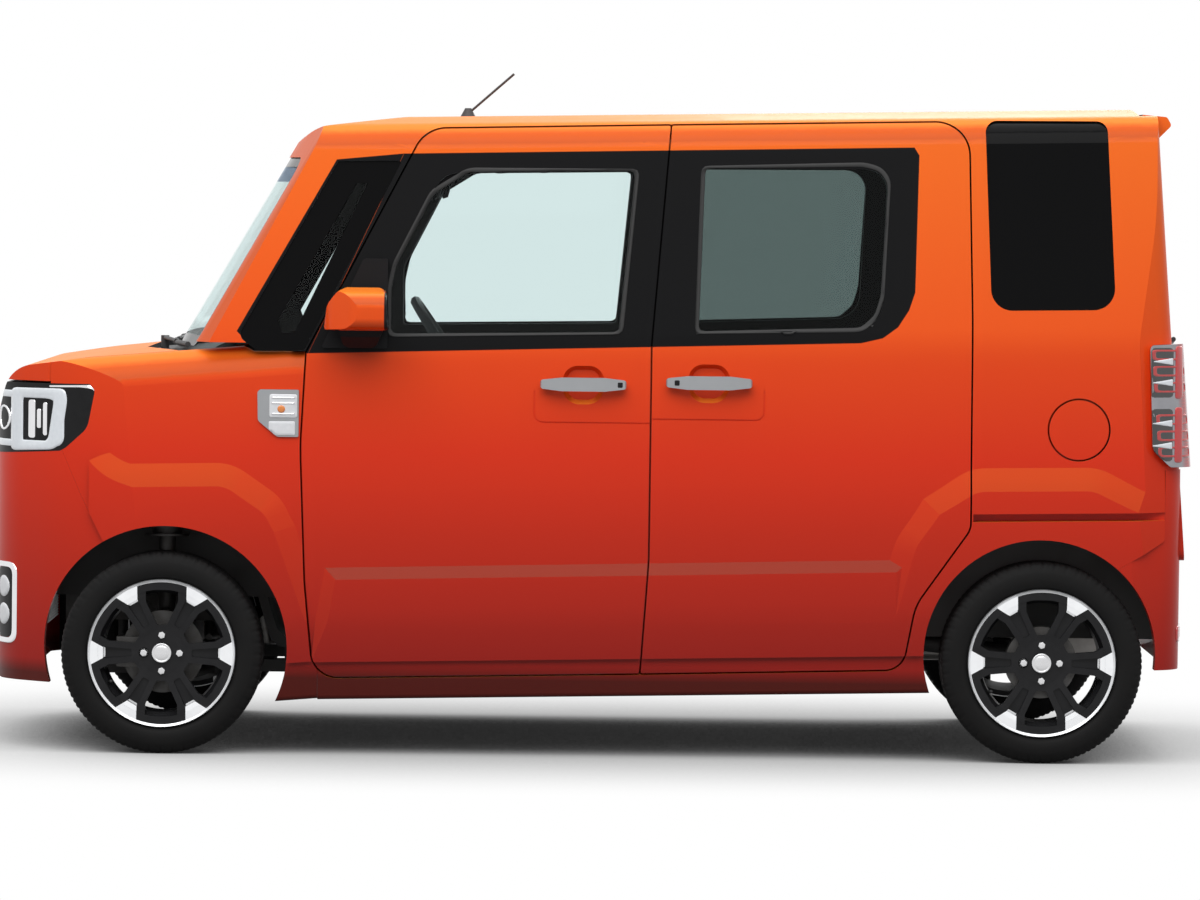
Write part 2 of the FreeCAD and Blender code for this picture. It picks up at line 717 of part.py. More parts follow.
bumper = nose_skin.fuse([nose_flared.common(front_pad), nose_flared.common(mirrored(front_pad))])
bumper = bumper.cut(nose(side=55, front=60)).common(prism("side", bumper_edge, -FAR / 3, FAR / 3))
for mirror in (False, True):
    tool = arch(front_arch, 0, 300)
    bumper = bumper.cut(mirrored(tool) if mirror else tool)
bumper = bumper.cut(box(NOSE - 300, NOSE + 10, -430, 430, 300, 500))
bumper = bumper.cut(box(NOSE - 10, NOSE + 50, -170, 170, 560, 690))
for y in (-PLATE_HALF, PLATE_HALF):
    bumper = bumper.cut(rod(V(NOSE, y, 650), V(NOSE - 30, y, 650), PLATE_BOLT))
keep("front_bumper", main_solid(bumper).removeSplitter())

upper = nose_skin.cut(nose_skin.translated(V(-50, 0, 0))).common(
    box(NOSE - 400, FAR, -GRILLE_HALF, GRILLE_HALF, 824, 1026))
for low in (846, 900, 954):
    upper = upper.cut(box(NOSE - 300, FAR, -GRILLE_HALF + 22, GRILLE_HALF - 22, low, low + 34))
upper = upper.cut(prism("side", inset(bumper_edge, -SEAT), -FAR / 3, FAR / 3))
lower = nose_flared.cut(nose_flared.translated(V(-45, 0, 0))).common(
    box(NOSE - 400, FAR, SEAT - 430, 430 - SEAT, 300 + SEAT, 500 - SEAT))
lower = lower.cut(nose_flared.cut(nose_flared.translated(V(-20, 0, 0))).common(
    box(NOSE - 400, FAR, -410, 410, 310, 490)))
for low in range(318, 480, 34):
    lower = lower.cut(box(NOSE - 300, FAR, -405, 405, low, low + 18))
keep("grille", Part.makeCompound([upper, lower]))

cowl = nose(side=STEP + 40, top=14).cut(nose(side=STEP + 40, top=34)).common(
    box(A_SHUT + 262, A_SHUT + 500, -(BONNET_EDGE - 3), BONNET_EDGE - 3, 900, FAR))
cowl = cowl.cut(prism("top", inset(bonnet_plan, -GAP), 900, FAR))

# ------------------------------------------------------------------ rear end
rear_bumper = tail_block().cut(tail_block(side=52, rear=55)).common(
    prism("side", rear_bumper_outline, -FAR / 3, FAR / 3))
for mirror in (False, True):
    tool = arch(rear_arch, 0, 540)
    rear_bumper = rear_bumper.cut(mirrored(tool) if mirror else tool)
rear_bumper = rear_bumper.cut(prism("front", gate_opening, TAIL - 90, TAIL + 400))
keep("rear_bumper", rear_bumper.removeSplitter())

tail_lamp = cabin_skin.translated(V(-32, 3, 0)).cut(cabin_skin.translated(V(30, -70, 0))).common(
    side_cut(inset(tail_lamp_outline, 0.15), 0, HALF - 106))
keep("tail_lamps", pair(main_solid(tail_lamp)))

# ------------------------------------------------------------------ floor and bulkhead
FLOOR = 25
floor_line = [
    (A_SHUT + 190, 1080, 0),
    (A_SHUT + 190, 700, 60),
    (A_SHUT + 70, 300, 60),
    (REAR_AXLE + 660, 300, 40),
    (REAR_AXLE + 600, 440, 40),
    (TAIL + 90, 450, 0),
]
floor_outline = floor_line + [
    (TAIL + 90, 450 - FLOOR, 0),
    (REAR_AXLE + 580, 440 - FLOOR, 40),
    (REAR_AXLE + 640, 300 - FLOOR, 40),
    (A_SHUT + 90, 300 - FLOOR, 60),
    (A_SHUT + 190 + FLOOR, 695, 60),
    (A_SHUT + 190 + FLOOR, 1080, 0),
]
floor = prism("side", floor_outline, -(HALF - 196), HALF - 196)
floor = floor.cut(pair(arch(front_arch, 14 + SEAT, 400 - SEAT)))
keep("floor_pan", floor)


def liner(place, inner, low, room):
    """Half round inner arch as far out as the wall of the room it stands in."""
    x, z, radius = place
    outer = HALF
    ring = Part.makeCylinder(radius + 14, outer - inner, V(x, inner, z), ACROSS)
    ring = ring.cut(Part.makeCylinder(radius + 9, outer - inner - 5, V(x, inner + 5, z), ACROSS))
    ring = ring.common(box(-FAR, FAR, 0, FAR, low, FAR))
    return ring.common(room.translated(V(0, -SEAT, 0)))


STRUT_Y = size["front_track"] / 2 - 124
front_hole = Part.makeCylinder(82, 500, V(FRONT_AXLE, STRUT_Y - 22, 500), UP).fuse(
    box(-FAR, FAR, 380, 430, 0, 420))
front_liner = liner(front_arch, 400, 190, nose_room).cut(front_hole)
front_liner = front_liner.cut(side_cut(inset(bumper_edge, -SEAT)))
front_liner = front_liner.cut(box(-FAR, A_SHUT + 30, 0, FAR, 0, FAR))
rear_liner = liner(rear_arch, HALF - 195, 340, cabin_room)
keep("wheel_liners", Part.makeCompound([
    front_liner, mirrored(front_liner), rear_liner, mirrored(rear_liner)]))

# ------------------------------------------------------------------ cabin furniture
DASH_HALF = HALF - STEP - WALL - RING - 13
dash = prism("side", [
    (A_SHUT + 190 - SEAT, 1078, 10),
    (A_SHUT - 60, 1070, 60),
    (A_SHUT - 140, 1010, 50),
    (A_SHUT - 120, 860, 60),
    (A_SHUT - 30, 700, 80),
    (A_SHUT + 100, 640, 0),
    (A_SHUT + 190 - SEAT, 760, 0),
], -DASH_HALF, DASH_HALF)
dash = dash.cut(floor.translated(V(-SEAT, 0, 0)))
WHEEL_CENTRE = V(A_SHUT - 387, -335, 1095)
COLUMN = V(0.838, 0, -0.546)
column_end = WHEEL_CENTRE + COLUMN * 330
dash = dash.cut(rod(WHEEL_CENTRE, WHEEL_CENTRE + COLUMN * 420, 34))
keep("dashboard", dash)
rim_radius = size["wheel_rim_radius"]
rim_section = [V(0, rim_radius + 15 * math.sin(math.radians(45 * step + 22.5)),
                 15 * math.cos(math.radians(45 * step + 22.5))) for step in range(9)]
rim = Part.Face(Part.makePolygon(rim_section)).revolve(V(0, 0, 0), UP, 360)
rim.Placement = FreeCAD.Placement(WHEEL_CENTRE, FreeCAD.Rotation(UP, COLUMN))
hub = rod(WHEEL_CENTRE - COLUMN * 5, WHEEL_CENTRE + COLUMN * 50, 62)
steering = rim.fuse(hub).fuse(rod(WHEEL_CENTRE + COLUMN * 40, column_end, 20))
down = V(-0.546, 0, -0.838)
for arm in (ACROSS, ACROSS * -1, down):
    steering = steering.fuse(rod(WHEEL_CENTRE + COLUMN * 22 + arm * 50,
                                 WHEEL_CENTRE + arm * (rim_radius - 2), 14))
keep("steering_wheel", steering)


def seat(width, centre, front, back, cushion, top, lean):
    """Cushion and leaning back as one solid, seen from the side."""
    outline = [
        (front, cushion - 120, 30),
        (front, cushion, 60),
        (back + 120, cushion - 30, 20),
        (back + 130 - lean, top, 50),
        (back + 10 - lean, top, 50),
        (back, cushion - 120, 40),
    ]
    return prism("side", outline, centre - width / 2, centre + width / 2)


front_seat = seat(470, 330, 470, -70, 640, 1190, 160)
head = prism("side", [(-130, 1215, 30), (-140, 1400, 30), (-245, 1400, 30), (-235, 1215, 30)], 210, 450)
posts = fused([rod(V(-190, y, 1180), V(-190, y, 1225), 8) for y in (270, 390)])
legs = fused([box(-60, 420, y - 20, y + 20, 300 + SEAT, 521) for y in (150, 510)])
keep("front_seats", pair(front_seat.fuse(head).fuse(posts).fuse(legs)))
bench = seat(1060, 0, -470, -960, 650, 1165, 120)
bench = bench.fuse(box(-900, -660, -500, 500, 430, 540)).cut(floor.translated(V(0, 0, SEAT)))
keep("rear_seat", bench)

# ------------------------------------------------------------------ running gear
HUB_Y = size["front_track"] / 2
REAR_HUB_Y = size["rear_track"] / 2
tyre_half = size["tyre_width"] / 2


SPOKES = 6
SPOKE_WINDOW = (
    # across, out from the axle, corner radius: the opening inside a pair of spokes
    (-45, 176, 6),
    (45, 176, 6),
    (45, 144, 10),
    (14, 78, 8),
    (-14, 78, 8),
    (-45, 144, 10),
)
SPOKE_FRAME = (
    # the raised frame round that opening
    (-67, 194, 0),
    (67, 194, 0),
    (67, 149, 0),
    (22, 46, 0),
    (-22, 46, 0),
    (-67, 149, 0),
)
SPOKE_VALLEY = (
    # the sunk web between two neighbouring frames
    (-17, 163, 3),
    (17, 163, 3),
    (10, 84, 4),
    (-10, 84, 4),
)


def origin_part(body, role):
    """Plane or axis of the body's own origin."""
    return [feature for feature in body.Origin.OriginFeatures if feature.Role == role][0]


def measure(sketch, name, geometry, end, a, b, unit):
    """Fix one end of an edge at (a, b), written as shares of a cell of the sheet."""
    for kind, value in (("DistanceX", a), ("DistanceY", b)):
        label = name + kind[-1]
        sketch.addConstraint(Sketcher.Constraint(kind, -1, 1, geometry, end, value))
        sketch.renameConstraint(sketch.ConstraintCount - 1, label)
        share = value / size[unit]
        sketch.setExpression("Constraints." + label, "Sizes.%s * (%.8f)" % (unit, share))


def drawn(body, name, role, offset, outline, unit):
    """Closed sketch on a plane of the body; its corner radii are the third numbers."""
    sketch = body.newObject("Sketcher::SketchObject", name)
    sketch.AttachmentSupport = [(origin_part(body, role), "")]
    sketch.MapMode = "FlatFace"
    sketch.AttachmentOffset = FreeCAD.Placement(V(0, 0, offset), FreeCAD.Rotation())
    wire = rounded_wire(outline, lambda a, b: V(a, b, 0))
    for number, edge in enumerate(wire.OrderedEdges):
        ends = [edge.valueAt(edge.FirstParameter), edge.valueAt(edge.LastParameter)]
        if edge.Orientation == "Reversed":
            ends.reverse()
        if edge.Curve.TypeId == "Part::GeomLine":
            sketch.addGeometry(Part.LineSegment(*ends))
        else:
            middle = edge.valueAt((edge.FirstParameter + edge.LastParameter) / 2)
            sketch.addGeometry(Part.Arc(ends[0], middle, ends[1]))
        start = sketch.getPoint(number, 1)
        first, last = (1, 2) if start.distanceToPoint(ends[0]) < 0.01 else (2, 1)
        measure(sketch, "start%d" % number, number, first, ends[0].x, ends[0].y, unit)
        measure(sketch, "end%d" % number, number, last, ends[1].x, ends[1].y, unit)
        if edge.Curve.TypeId != "Part::GeomLine":
            radius = edge.Curve.Radius
            sketch.addConstraint(Sketcher.Constraint("Radius", number, radius))
            sketch.renameConstraint(sketch.ConstraintCount - 1, "round%d" % number)
            sketch.setExpression("Constraints.round%d" % number,
                                 "Sizes.%s * %.8f" % (unit, radius / size[unit]))
    return sketch


def turned(body, name, outline, unit):
    """Revolution about the wheel's axis of (across, out) points."""
    profile = drawn(body, name + "_profile", "YZ_Plane", 0, outline, unit)
    feature = body.newObject("PartDesign::Revolution", name)
    feature.Profile = profile
    feature.ReferenceAxis = (profile, ["H_Axis"])
    feature.Angle = 360
    return feature


def pocket(body, name, outline, front, depth, unit):
    """Pocket cut inwards from the wheel's face."""
    profile = drawn(body, name + "_profile", "XZ_Plane", -front, outline, unit)
    feature = body.newObject("PartDesign::Pocket", name)
    feature.Profile = profile
    feature.Length = depth
    feature.Reversed = True
    return feature


def patterned(body, name, originals, count):
    """Polar pattern about the wheel's axis, which becomes the body's tip."""
    pattern = body.newObject("PartDesign::PolarPattern", name)
    pattern.Originals = originals
    pattern.Axis = (origin_part(body, "Y_Axis"), [""])
    pattern.Angle = 360
    pattern.Occurrences = count
    body.Tip = pattern
    return pattern


def at_wheel(item, corner):
    """Bind an object's place to the wheel's centre; the right side is turned half round."""
    front, left = CORNER_SIDES[corner]
    reach = "Sizes.car_length / 2 - Sizes.front_overhang"
    if not front:
        reach += " - Sizes.wheelbase"
    track = "Sizes.front_track / 2" if front else "Sizes.rear_track / 2"
    item.Placement = FreeCAD.Placement(V(), FreeCAD.Rotation(UP, 0 if left else 180))
    item.setExpression("Placement.Base.x", reach)
    item.setExpression("Placement.Base.y", track if left else "-" + track)
    item.setExpression("Placement.Base.z", "Sizes.tyre_radius")


CORNER_SIDES = {
    # front, left
    "front_left": (True, True),
    "front_right": (True, False),
    "rear_left": (False, True),
    "rear_right": (False, False),
}


def sharp(points):
    return [(a, b, 0) for a, b in points]


def tyre_body(name):
    """Tyre that seats on the rim's two beads."""
    bead = size["bead_radius"]
    lip = size["lip_radius"]
    outer = size["tyre_radius"]
    half = tyre_half
    side = [
        (half * 0.66, bead), (half * 0.82, bead), (half * 0.845, lip + 2),
        (half * 0.96, lip + 12), (half, bead + 46), (half * 0.985, bead + 62),
        (half * 0.91, outer - 12), (half * 0.84, outer - 3), (half * 0.72, outer),
    ]
    inner = [(half * 0.6, outer - 20), (half * 0.88, bead + 46), (half * 0.66, bead + 12)]
    section = side + [(-a, r) for a, r in reversed(side)]
    section += [(-a, r) for a, r in reversed(inner)] + inner
    body = doc.addObject("PartDesign::Body", name)
    turned(body, name + "_section", sharp(section), "tyre_radius")
    return body


def alloy_body(name):
    """Rim with two beads and six pairs of spokes, its face towards +Y."""
    half = tyre_half
    bead = size["bead_radius"] - SEAT
    lip = size["lip_radius"]
    face = half * 0.9
    body = doc.addObject("PartDesign::Body", name)
    turned(body, name + "_centre", sharp([
        (face - 34, 0), (face - 34, 64), (face - 28, 76), (face - 26, bead - 10),
        (face, bead - 10), (face, 193), (face - 4, 150), (face - 15, 62), (face - 15, 28),
        (face - 9, 28), (face - 9, 0),
    ]), "lip_radius")
    frame = pocket(body, name + "_frame", SPOKE_FRAME, face, 2.5, "lip_radius")
    window = pocket(body, name + "_window", SPOKE_WINDOW, face, 40, "lip_radius")
    valley = pocket(body, name + "_valley", SPOKE_VALLEY, face, 19, "lip_radius")
    valley.Profile[0].AttachmentOffset = FreeCAD.Placement(
        V(0, 0, -face), FreeCAD.Rotation(UP, 180 / SPOKES))
    patterned(body, name + "_spokes", [frame, window, valley], SPOKES)
    turned(body, name + "_barrel", sharp([
        (-half * 0.86, bead), (-half * 0.86, lip - 6), (-half * 0.93, lip - 6),
        (-half * 0.91, bead - 6), (-half * 0.3, bead - 26), (face - 34, bead - 22),
        (face - 22, bead - 12), (face, bead - 12), (face, lip - 8), (half * 0.97, lip - 2),
        (half * 0.92, lip), (half * 0.86, lip - 2), (half * 0.86, bead), (half * 0.55, bead),
        (half * 0.4, bead - 14), (-half * 0.2, bead - 18), (-half * 0.55, bead),
    ]), "lip_radius")
    reach = size["bolt_circle"]
    seat_hole = pocket(body, name + "_nut_seat", regular(reach, 14.5, 24), face, 24, "bolt_circle")
    nut = body.newObject("PartDesign::AdditiveCone", name + "_nut")
    nut.Radius1 = 11.5
    nut.Radius2 = 9.5
    nut.Height = 14
    nut.Placement = FreeCAD.Placement(V(reach, face - 24, 0), FreeCAD.Rotation(UP, ACROSS))
    nut.setExpression("Placement.Base.x", "Sizes.bolt_circle")
    patterned(body, name + "_nuts", [seat_hole, nut], 4)
    return body


def regular(centre, radius, sides):
    """Regular outline standing for a round one."""
    turn = 2 * math.pi / sides
    return [(centre + radius * math.cos(step * turn), radius * math.sin(step * turn), 0)
            for step in range(sides)]


def primitive(kind, name, sizes, start, direction=UP):
    """Part primitive with its sizes and its start point bound to the sheet."""
    item = doc.addObject("Part::" + kind, name)
    for label, expression in sizes.items():
        item.setExpression(label, expression)
    item.Placement = FreeCAD.Placement(V(), FreeCAD.Rotation(UP, direction))
    for axis, expression in zip("xyz", start):
        item.setExpression("Placement.Base." + axis, expression)
    return item


def gathered(kind, name, items):
    """Union or compound of finished objects, under its own label."""
    whole = doc.addObject("Part::" + kind, name)
    if kind == "Compound":
        whole.Links = items
    else:
        whole.Shapes = items
    return whole


FRONT_X = "Sizes.car_length / 2 - Sizes.front_overhang"
REAR_X = FRONT_X + " - Sizes.wheelbase"
DISC_BACK = "Sizes.tyre_width * 0.45 - 76"


def brake_object(name, front):
    """Disc with its bell in front, drum behind."""
    if not front:
        drum = primitive("Cylinder", name + "_drum", {"Radius": "Sizes.drum_radius", "Height": "50"},
                         ("0", DISC_BACK + " - 8.3", "0"), ACROSS)
        return gathered("Compound", name, [drum])
    disc = primitive("Cylinder", name + "_disc",
                     {"Radius": "Sizes.disc_radius", "Height": "Sizes.disc_wall"},
                     ("0", DISC_BACK, "0"), ACROSS)
    bell = primitive("Cylinder", name + "_bell", {"Radius": "66", "Height": "32"},
                     ("0", DISC_BACK + " + 9.7", "0"), ACROSS)
    return gathered("MultiFuse", name, [disc, bell])


inner_face = tyre_half * 0.9 - 34
for corner, (front, left) in CORNER_SIDES.items():
    at_wheel(tyre_body("tyre_" + corner), corner)
    at_wheel(alloy_body("alloy_wheel_" + corner), corner)
    at_wheel(brake_object("brake_" + corner, front), corner)

# knuckle and strut turn together about the line from the lower ball to the top mount
BALL = V(FRONT_AXLE, HUB_Y - 64, AXLE_HEIGHT - 76)
TOP_MOUNT = V(FRONT_AXLE, HUB_Y - 150, 880)
STRUT_FOOT = V(FRONT_AXLE, HUB_Y - 128, AXLE_HEIGHT + 119)
disc_back = HUB_Y + inner_face - 42
kingpin = TOP_MOUNT - BALL
kingpin.normalize()
strut = TOP_MOUNT - STRUT_FOOT


def on_axle(y):
    return V(FRONT_AXLE, y, AXLE_HEIGHT)


KNUCKLE_RODS = (
    # start, end, radius
    (on_axle(disc_back - 44), on_axle(disc_back - 6), 42),
    (BALL + V(0, 0, 17), on_axle(disc_back - 26), 16),
    (on_axle(disc_back - 30), STRUT_FOOT, 18),
    (STRUT_FOOT - strut * 0.03, STRUT_FOOT + strut * 0.5, 24),
    (STRUT_FOOT + strut * 0.42, TOP_MOUNT - strut * 0.02, 40),
    (on_axle(disc_back - 22), V(FRONT_AXLE - 118, HUB_Y - 84, AXLE_HEIGHT + 4), 13),
)
knuckle = fused([rod(*row) for row in KNUCKLE_RODS])
for step in range(6):
    knuckle = knuckle.fuse(Part.makeCylinder(58, 13, STRUT_FOOT + strut * (0.46 + 0.085 * step), strut))
knuckle = knuckle.fuse(Part.makeCylinder(62, 6, STRUT_FOOT + strut * 0.41, strut))
knuckle = knuckle.fuse(Part.makeCylinder(60, 10, TOP_MOUNT - kingpin * 26, kingpin))
caliper = box(FRONT_AXLE + 62, FRONT_AXLE + 128, disc_back - 34, disc_back + 34,
              AXLE_HEIGHT - 42, AXLE_HEIGHT + 42)
caliper = caliper.cut(rod(on_axle(disc_back - 5), on_axle(disc_back + 15), size["disc_radius"] + 6))
caliper = caliper.cut(rod(on_axle(disc_back + 10), on_axle(disc_back + 60), 72))
bracket = box(FRONT_AXLE + 20, FRONT_AXLE + 100, disc_back - 34, disc_back - 16,
              AXLE_HEIGHT - 20, AXLE_HEIGHT + 20)
keep_pair("knuckle", main_solid(knuckle.fuse(caliper).fuse(bracket)))

# subframe carries the arms, the rack and the engine's mounts
ENGINE_FOOT = AXLE_HEIGHT + size["engine_lift"]
RACK_X = FRONT_AXLE - 150
RACK_Z = AXLE_HEIGHT + 27
sub = box(FRONT_AXLE - 190, FRONT_AXLE + 210, -350, 350, 195, 235)
sub = sub.cut(box(FRONT_AXLE - 90, FRONT_AXLE + 120, -250, 250, 150, 300))
for sign in (1, -1):
    ball = V(BALL.x, BALL.y * sign, BALL.z - 14)
    clamp = box(RACK_X - 34, RACK_X + 34, sign * 240 - 25, sign * 240 + 25, 230, RACK_Z)
    clamp = clamp.cut(rod(V(RACK_X, -320, RACK_Z), V(RACK_X, 320, RACK_Z), 25 + SEAT))
    sub = sub.fuse([
        rod(V(FRONT_AXLE - 120, 330 * sign, 212), ball, 15),
        rod(V(FRONT_AXLE + 110, 330 * sign, 212), ball, 15),
        rod(ball - V(0, 0, 12), ball + V(0, 0, 16), 20),
        clamp,
        box(A_SHUT + 10, FRONT_AXLE - 180, sign * 280 - 30, sign * 280 + 30, 200, 235),
        box(A_SHUT + 10, A_SHUT + 60, sign * 280 - 30, sign * 280 + 30, 200, 275 - SEAT),
    ])
ENGINE_MOUNTS = (
    # from the front axle, y
    (-105, 200),
    (-105, -200),
    (160, 0),
)
for ahead, y in ENGINE_MOUNTS:
    post = Part.makeCylinder(14, ENGINE_FOOT - 235 - SEAT, V(FRONT_AXLE + ahead, y, 235), UP)
    sub = sub.fuse(post)
keep("front_subframe", sub)

# side rails, inner aprons and strut towers behind the front panels
frame_start = A_SHUT + 190 + FLOOR + SEAT
frame = box(NOSE - 165, NOSE - 125, -392, 392, 430, 510)
tower = Part.makeCylinder(94, 250, V(FRONT_AXLE, STRUT_Y - 22, 660), UP)
hollow = Part.makeCylinder(82, 232, V(FRONT_AXLE, STRUT_Y - 22, 650), UP)
tower = tower.fuse(box(FRONT_AXLE - 60, FRONT_AXLE + 60, 398, 440, 660, 900))
rail_left = box(frame_start, NOSE - 125, 344, 392, 420, 520)
apron = box(frame_start, FRONT_AXLE + 330, 391.7, 399.7, 420, 900)
half_frame = rail_left.fuse([apron, tower]).cut(hollow)
frame = frame.fuse([half_frame, mirrored(half_frame)])
keep("front_frame", frame.removeSplitter())

block = primitive("Box", "engine_block", {
    "Length": "460", "Width": "650", "Height": "860 - Sizes.tyre_radius - Sizes.engine_lift",
}, (FRONT_X + " - 160", "-320", "Sizes.tyre_radius + Sizes.engine_lift"))
gearbox = primitive("Box", "gearbox", {
    "Length": "140", "Width": "500 - 2 * Sizes.seat_gap", "Height": "Sizes.tyre_radius + Sizes.engine_lift - 243",
}, (FRONT_X + " - 60", "Sizes.seat_gap - 250", "243"))
gathered("MultiFuse", "engine", [block, gearbox])

shafts = []
for side_name, sign in (("left", 1), ("right", -1)):
    shaft = primitive("Cylinder", "shaft_" + side_name, {
        "Radius": "14", "Height": "Sizes.front_track / 2 + Sizes.tyre_width * 0.45 - 400",
    }, (FRONT_X, "%d" % (sign * 250), "Sizes.tyre_radius"), ACROSS * sign)
    boot = primitive("Cone", "boot_" + side_name, {
        "Radius1": "40", "Radius2": "26", "Height": "90",
    }, (FRONT_X, "%d" % (sign * 250), "Sizes.tyre_radius"), ACROSS * sign)
    shafts.append(gathered("MultiFuse", "drive_shaft_" + side_name, [shaft, boot]))
gathered("Compound", "drive_shafts", shafts)

rack = rod(V(RACK_X, -300, RACK_Z), V(RACK_X, 300, RACK_Z), 25)
for sign in (1, -1):
    boot = Part.makeCone(34, 20, 110, V(RACK_X, sign * 290, RACK_Z), ACROSS * sign)
    tie_rod = rod(V(RACK_X, sign * 380, RACK_Z), V(RACK_X + 28, sign * (HUB_Y - 90), RACK_Z + 8), 9)
    rack = rack.fuse([boot, tie_rod])
keep("steering_rack", rack)

# rear torsion beam with its arms, spring seats and stub axles
inner_drum = REAR_HUB_Y + inner_face - 50.3
PIVOT_X = REAR_AXLE + 400
BEAM_X = REAR_AXLE + 150
SPRING_X = REAR_AXLE + 60
beam = rod(V(BEAM_X, -500, 300), V(BEAM_X, 500, 300), 38)
for sign in (1, -1):
    foot = box(PIVOT_X - 40, PIVOT_X + 40, sign * 480 - 35, sign * 480 + 35, 330, 440)
    beam = beam.fuse([
        rod(V(PIVOT_X, sign * 480, 330), V(BEAM_X, sign * 490, 300), 26),
        rod(V(BEAM_X, sign * 490, 300), V(REAR_AXLE - 20, sign * 505, AXLE_HEIGHT), 28),
        rod(V(REAR_AXLE, sign * 490, AXLE_HEIGHT), V(REAR_AXLE, sign * (inner_drum - 5), AXLE_HEIGHT), 30),
        rod(V(PIVOT_X, sign * 450, 330), V(PIVOT_X, sign * 510, 330), 34),
        foot.cut(floor.translated(V(0, 0, -SEAT))),
        Part.makeCylinder(58, 12, V(SPRING_X, sign * 440, 318), UP),
        rod(V(SPRING_X, sign * 440, 300), V(SPRING_X, sign * 440, 322), 40),
        rod(V(SPRING_X, sign * 440, 300), V(SPRING_X, sign * 495, 295), 20),
    ])
keep("rear_axle", beam)

springs = []
for side_name, sign in (("left", 1), ("right", -1)):
    place = (REAR_X + " + 60", "%d" % (sign * 440))
    coils = [primitive("Cylinder", "spring_core_" + side_name, {
        "Radius": "Sizes.spring_radius - 14", "Height": "85 - 2 * Sizes.seat_gap",
    }, place + ("330 + Sizes.seat_gap",))]
    for step in range(4):
        coils.append(primitive("Cylinder", "coil_%s_%d" % (side_name, step + 1), {
            "Radius": "Sizes.spring_radius", "Height": "11",
        }, place + ("%d" % (334 + 21 * step),)))
    springs.append(gathered("MultiFuse", "rear_spring_" + side_name, coils))
gathered("Compound", "rear_springs", springs)

# tank and exhaust
primitive("Box", "fuel_tank", {
    "Length": "Sizes.tank_length", "Width": "Sizes.tank_width", "Height": "Sizes.tank_depth",
}, (FRONT_X + " - Sizes.front_door_length - 904", "-330", "275 - Sizes.seat_gap - Sizes.tank_depth"))
pipe = rod(V(FRONT_AXLE - 230, -400, 232), V(REAR_AXLE - 60, -400, 222), 22)
pipe = pipe.fuse([
    rod(V(FRONT_AXLE - 230, -400, 232), V(FRONT_AXLE - 215, -250, 330), 22),
    box(REAR_AXLE - 300, REAR_AXLE - 50, -430, -60, 215, 340),
    rod(V(REAR_AXLE - 290, -380, 250), V(REAR_AXLE - 345, -380, 235), 20),
    rod(V(0, -400, 226), V(0, -400, 275 - SEAT), 6),
    rod(V(-600, -400, 226), V(-600, -400, 275 - SEAT), 6),
    rod(V(REAR_AXLE - 180, -250, 330), V(REAR_AXLE - 180, -250, 420), 8),
])
keep("exhaust", pipe)

# ------------------------------------------------------------------ small outside pieces
handle = prism("side", [
    (-121, -12, 11), (-60, -19, 90), (60, -19, 90), (121, -12, 11),
    (121, 12, 11), (60, 19, 90), (-60, 19, 90), (-121, 12, 11),
], 0, 16)
handle = handle.common(prism("top", [
    (-121, 0, 2), (121, 0, 2), (117, 10, 12), (60, 16, 200), (-60, 16, 200), (-117, 10, 12),
], -30, 30))
handle = handle.fuse([rod(V(-104, -26, 0), V(-104, 2, 0), 13), rod(V(104, -26, 0), V(104, 2, 0), 13)])
door_shell = cabin_skin.cut(cabin_wall).translated(V(0, SEAT, 0))
grips = []
for number, x in enumerate(handle_places):
    place = V(x, HALF - STEP - SEAT + 14.5, handle_height + 8 * number)
    grips.append(main_solid(handle.translated(place).cut(door_shell)))
keep_pair("front_door_handle", grips[0])
keep("sliding_door_handles", pair(grips[1]))

cap_side = [
    # x, z, radius seen from the side
    (A_SHUT - 62, belt_a + 62, 12),
    (A_SHUT - 72, belt_a + 135, 45),
    (A_SHUT - 110, belt_a + 184, 60),
    (A_SHUT - 236, belt_a + 184, 34),
    (A_SHUT - 243, belt_a + 62, 12),
]
cap_front = [
    (HALF + 2, belt_a + 62, 14),
    (HALF + 172, belt_a + 70, 32),
    (HALF + 176, belt_a + 168, 46),
    (HALF + 4, belt_a + 186, 34),
]
cap_top = [
    (A_SHUT - 243, HALF + 2, 14),
    (A_SHUT - 243, HALF + 176, 14),
    (A_SHUT - 150, HALF + 176, 60),
    (A_SHUT - 62, HALF + 96, 90),
    (A_SHUT - 62, HALF + 2, 30),
]
mirror_glass_hole = [(HALF + 16, belt_a + 76, 24), (HALF + 162, belt_a + 82, 28),
                     (HALF + 164, belt_a + 160, 36), (HALF + 18, belt_a + 172, 28)]
shell = prism("side", cap_side, HALF - 10, HALF + 180)
shell = shell.common(prism("front", cap_front, A_SHUT - 250, A_SHUT - 50))
shell = shell.common(prism("top", cap_top, belt_a, belt_a + 200))
shell = shell.cut(prism("front", mirror_glass_hole, A_SHUT - 260, A_SHUT - 235))
foot = prism("side", [
    (A_SHUT - 104, belt_a + 70, 6), (A_SHUT - 116, belt_a + 14, 24), (A_SHUT - 205, belt_a + 14, 24),
    (A_SHUT - 228, belt_a + 70, 6)], HALF - 40, HALF + 74)
foot = foot.common(prism("front", [
    (HALF - 40, belt_a - 10, 0), (HALF + 20, belt_a + 10, 40), (HALF + 80, belt_a + 50, 30),
    (HALF + 80, belt_a + 72, 0), (HALF - 40, belt_a + 72, 0)], 0, A_SHUT))
sail = prism("side", [
    (A_SHUT - 52, belt_a + 12, 6), (A_SHUT - 168, belt_a + 262, 10), (A_SHUT - 236, belt_a + 262, 6),
    (A_SHUT - 236, belt_a + 12, 6)], HALF - 60, HALF - 8)
sail = sail.cut(cabin(side=STEP - 6))
door_mirror = fused([shell, foot, sail]).cut(cabin(side=STEP - SEAT))
keep_pair("door_mirror", main_solid(door_mirror))

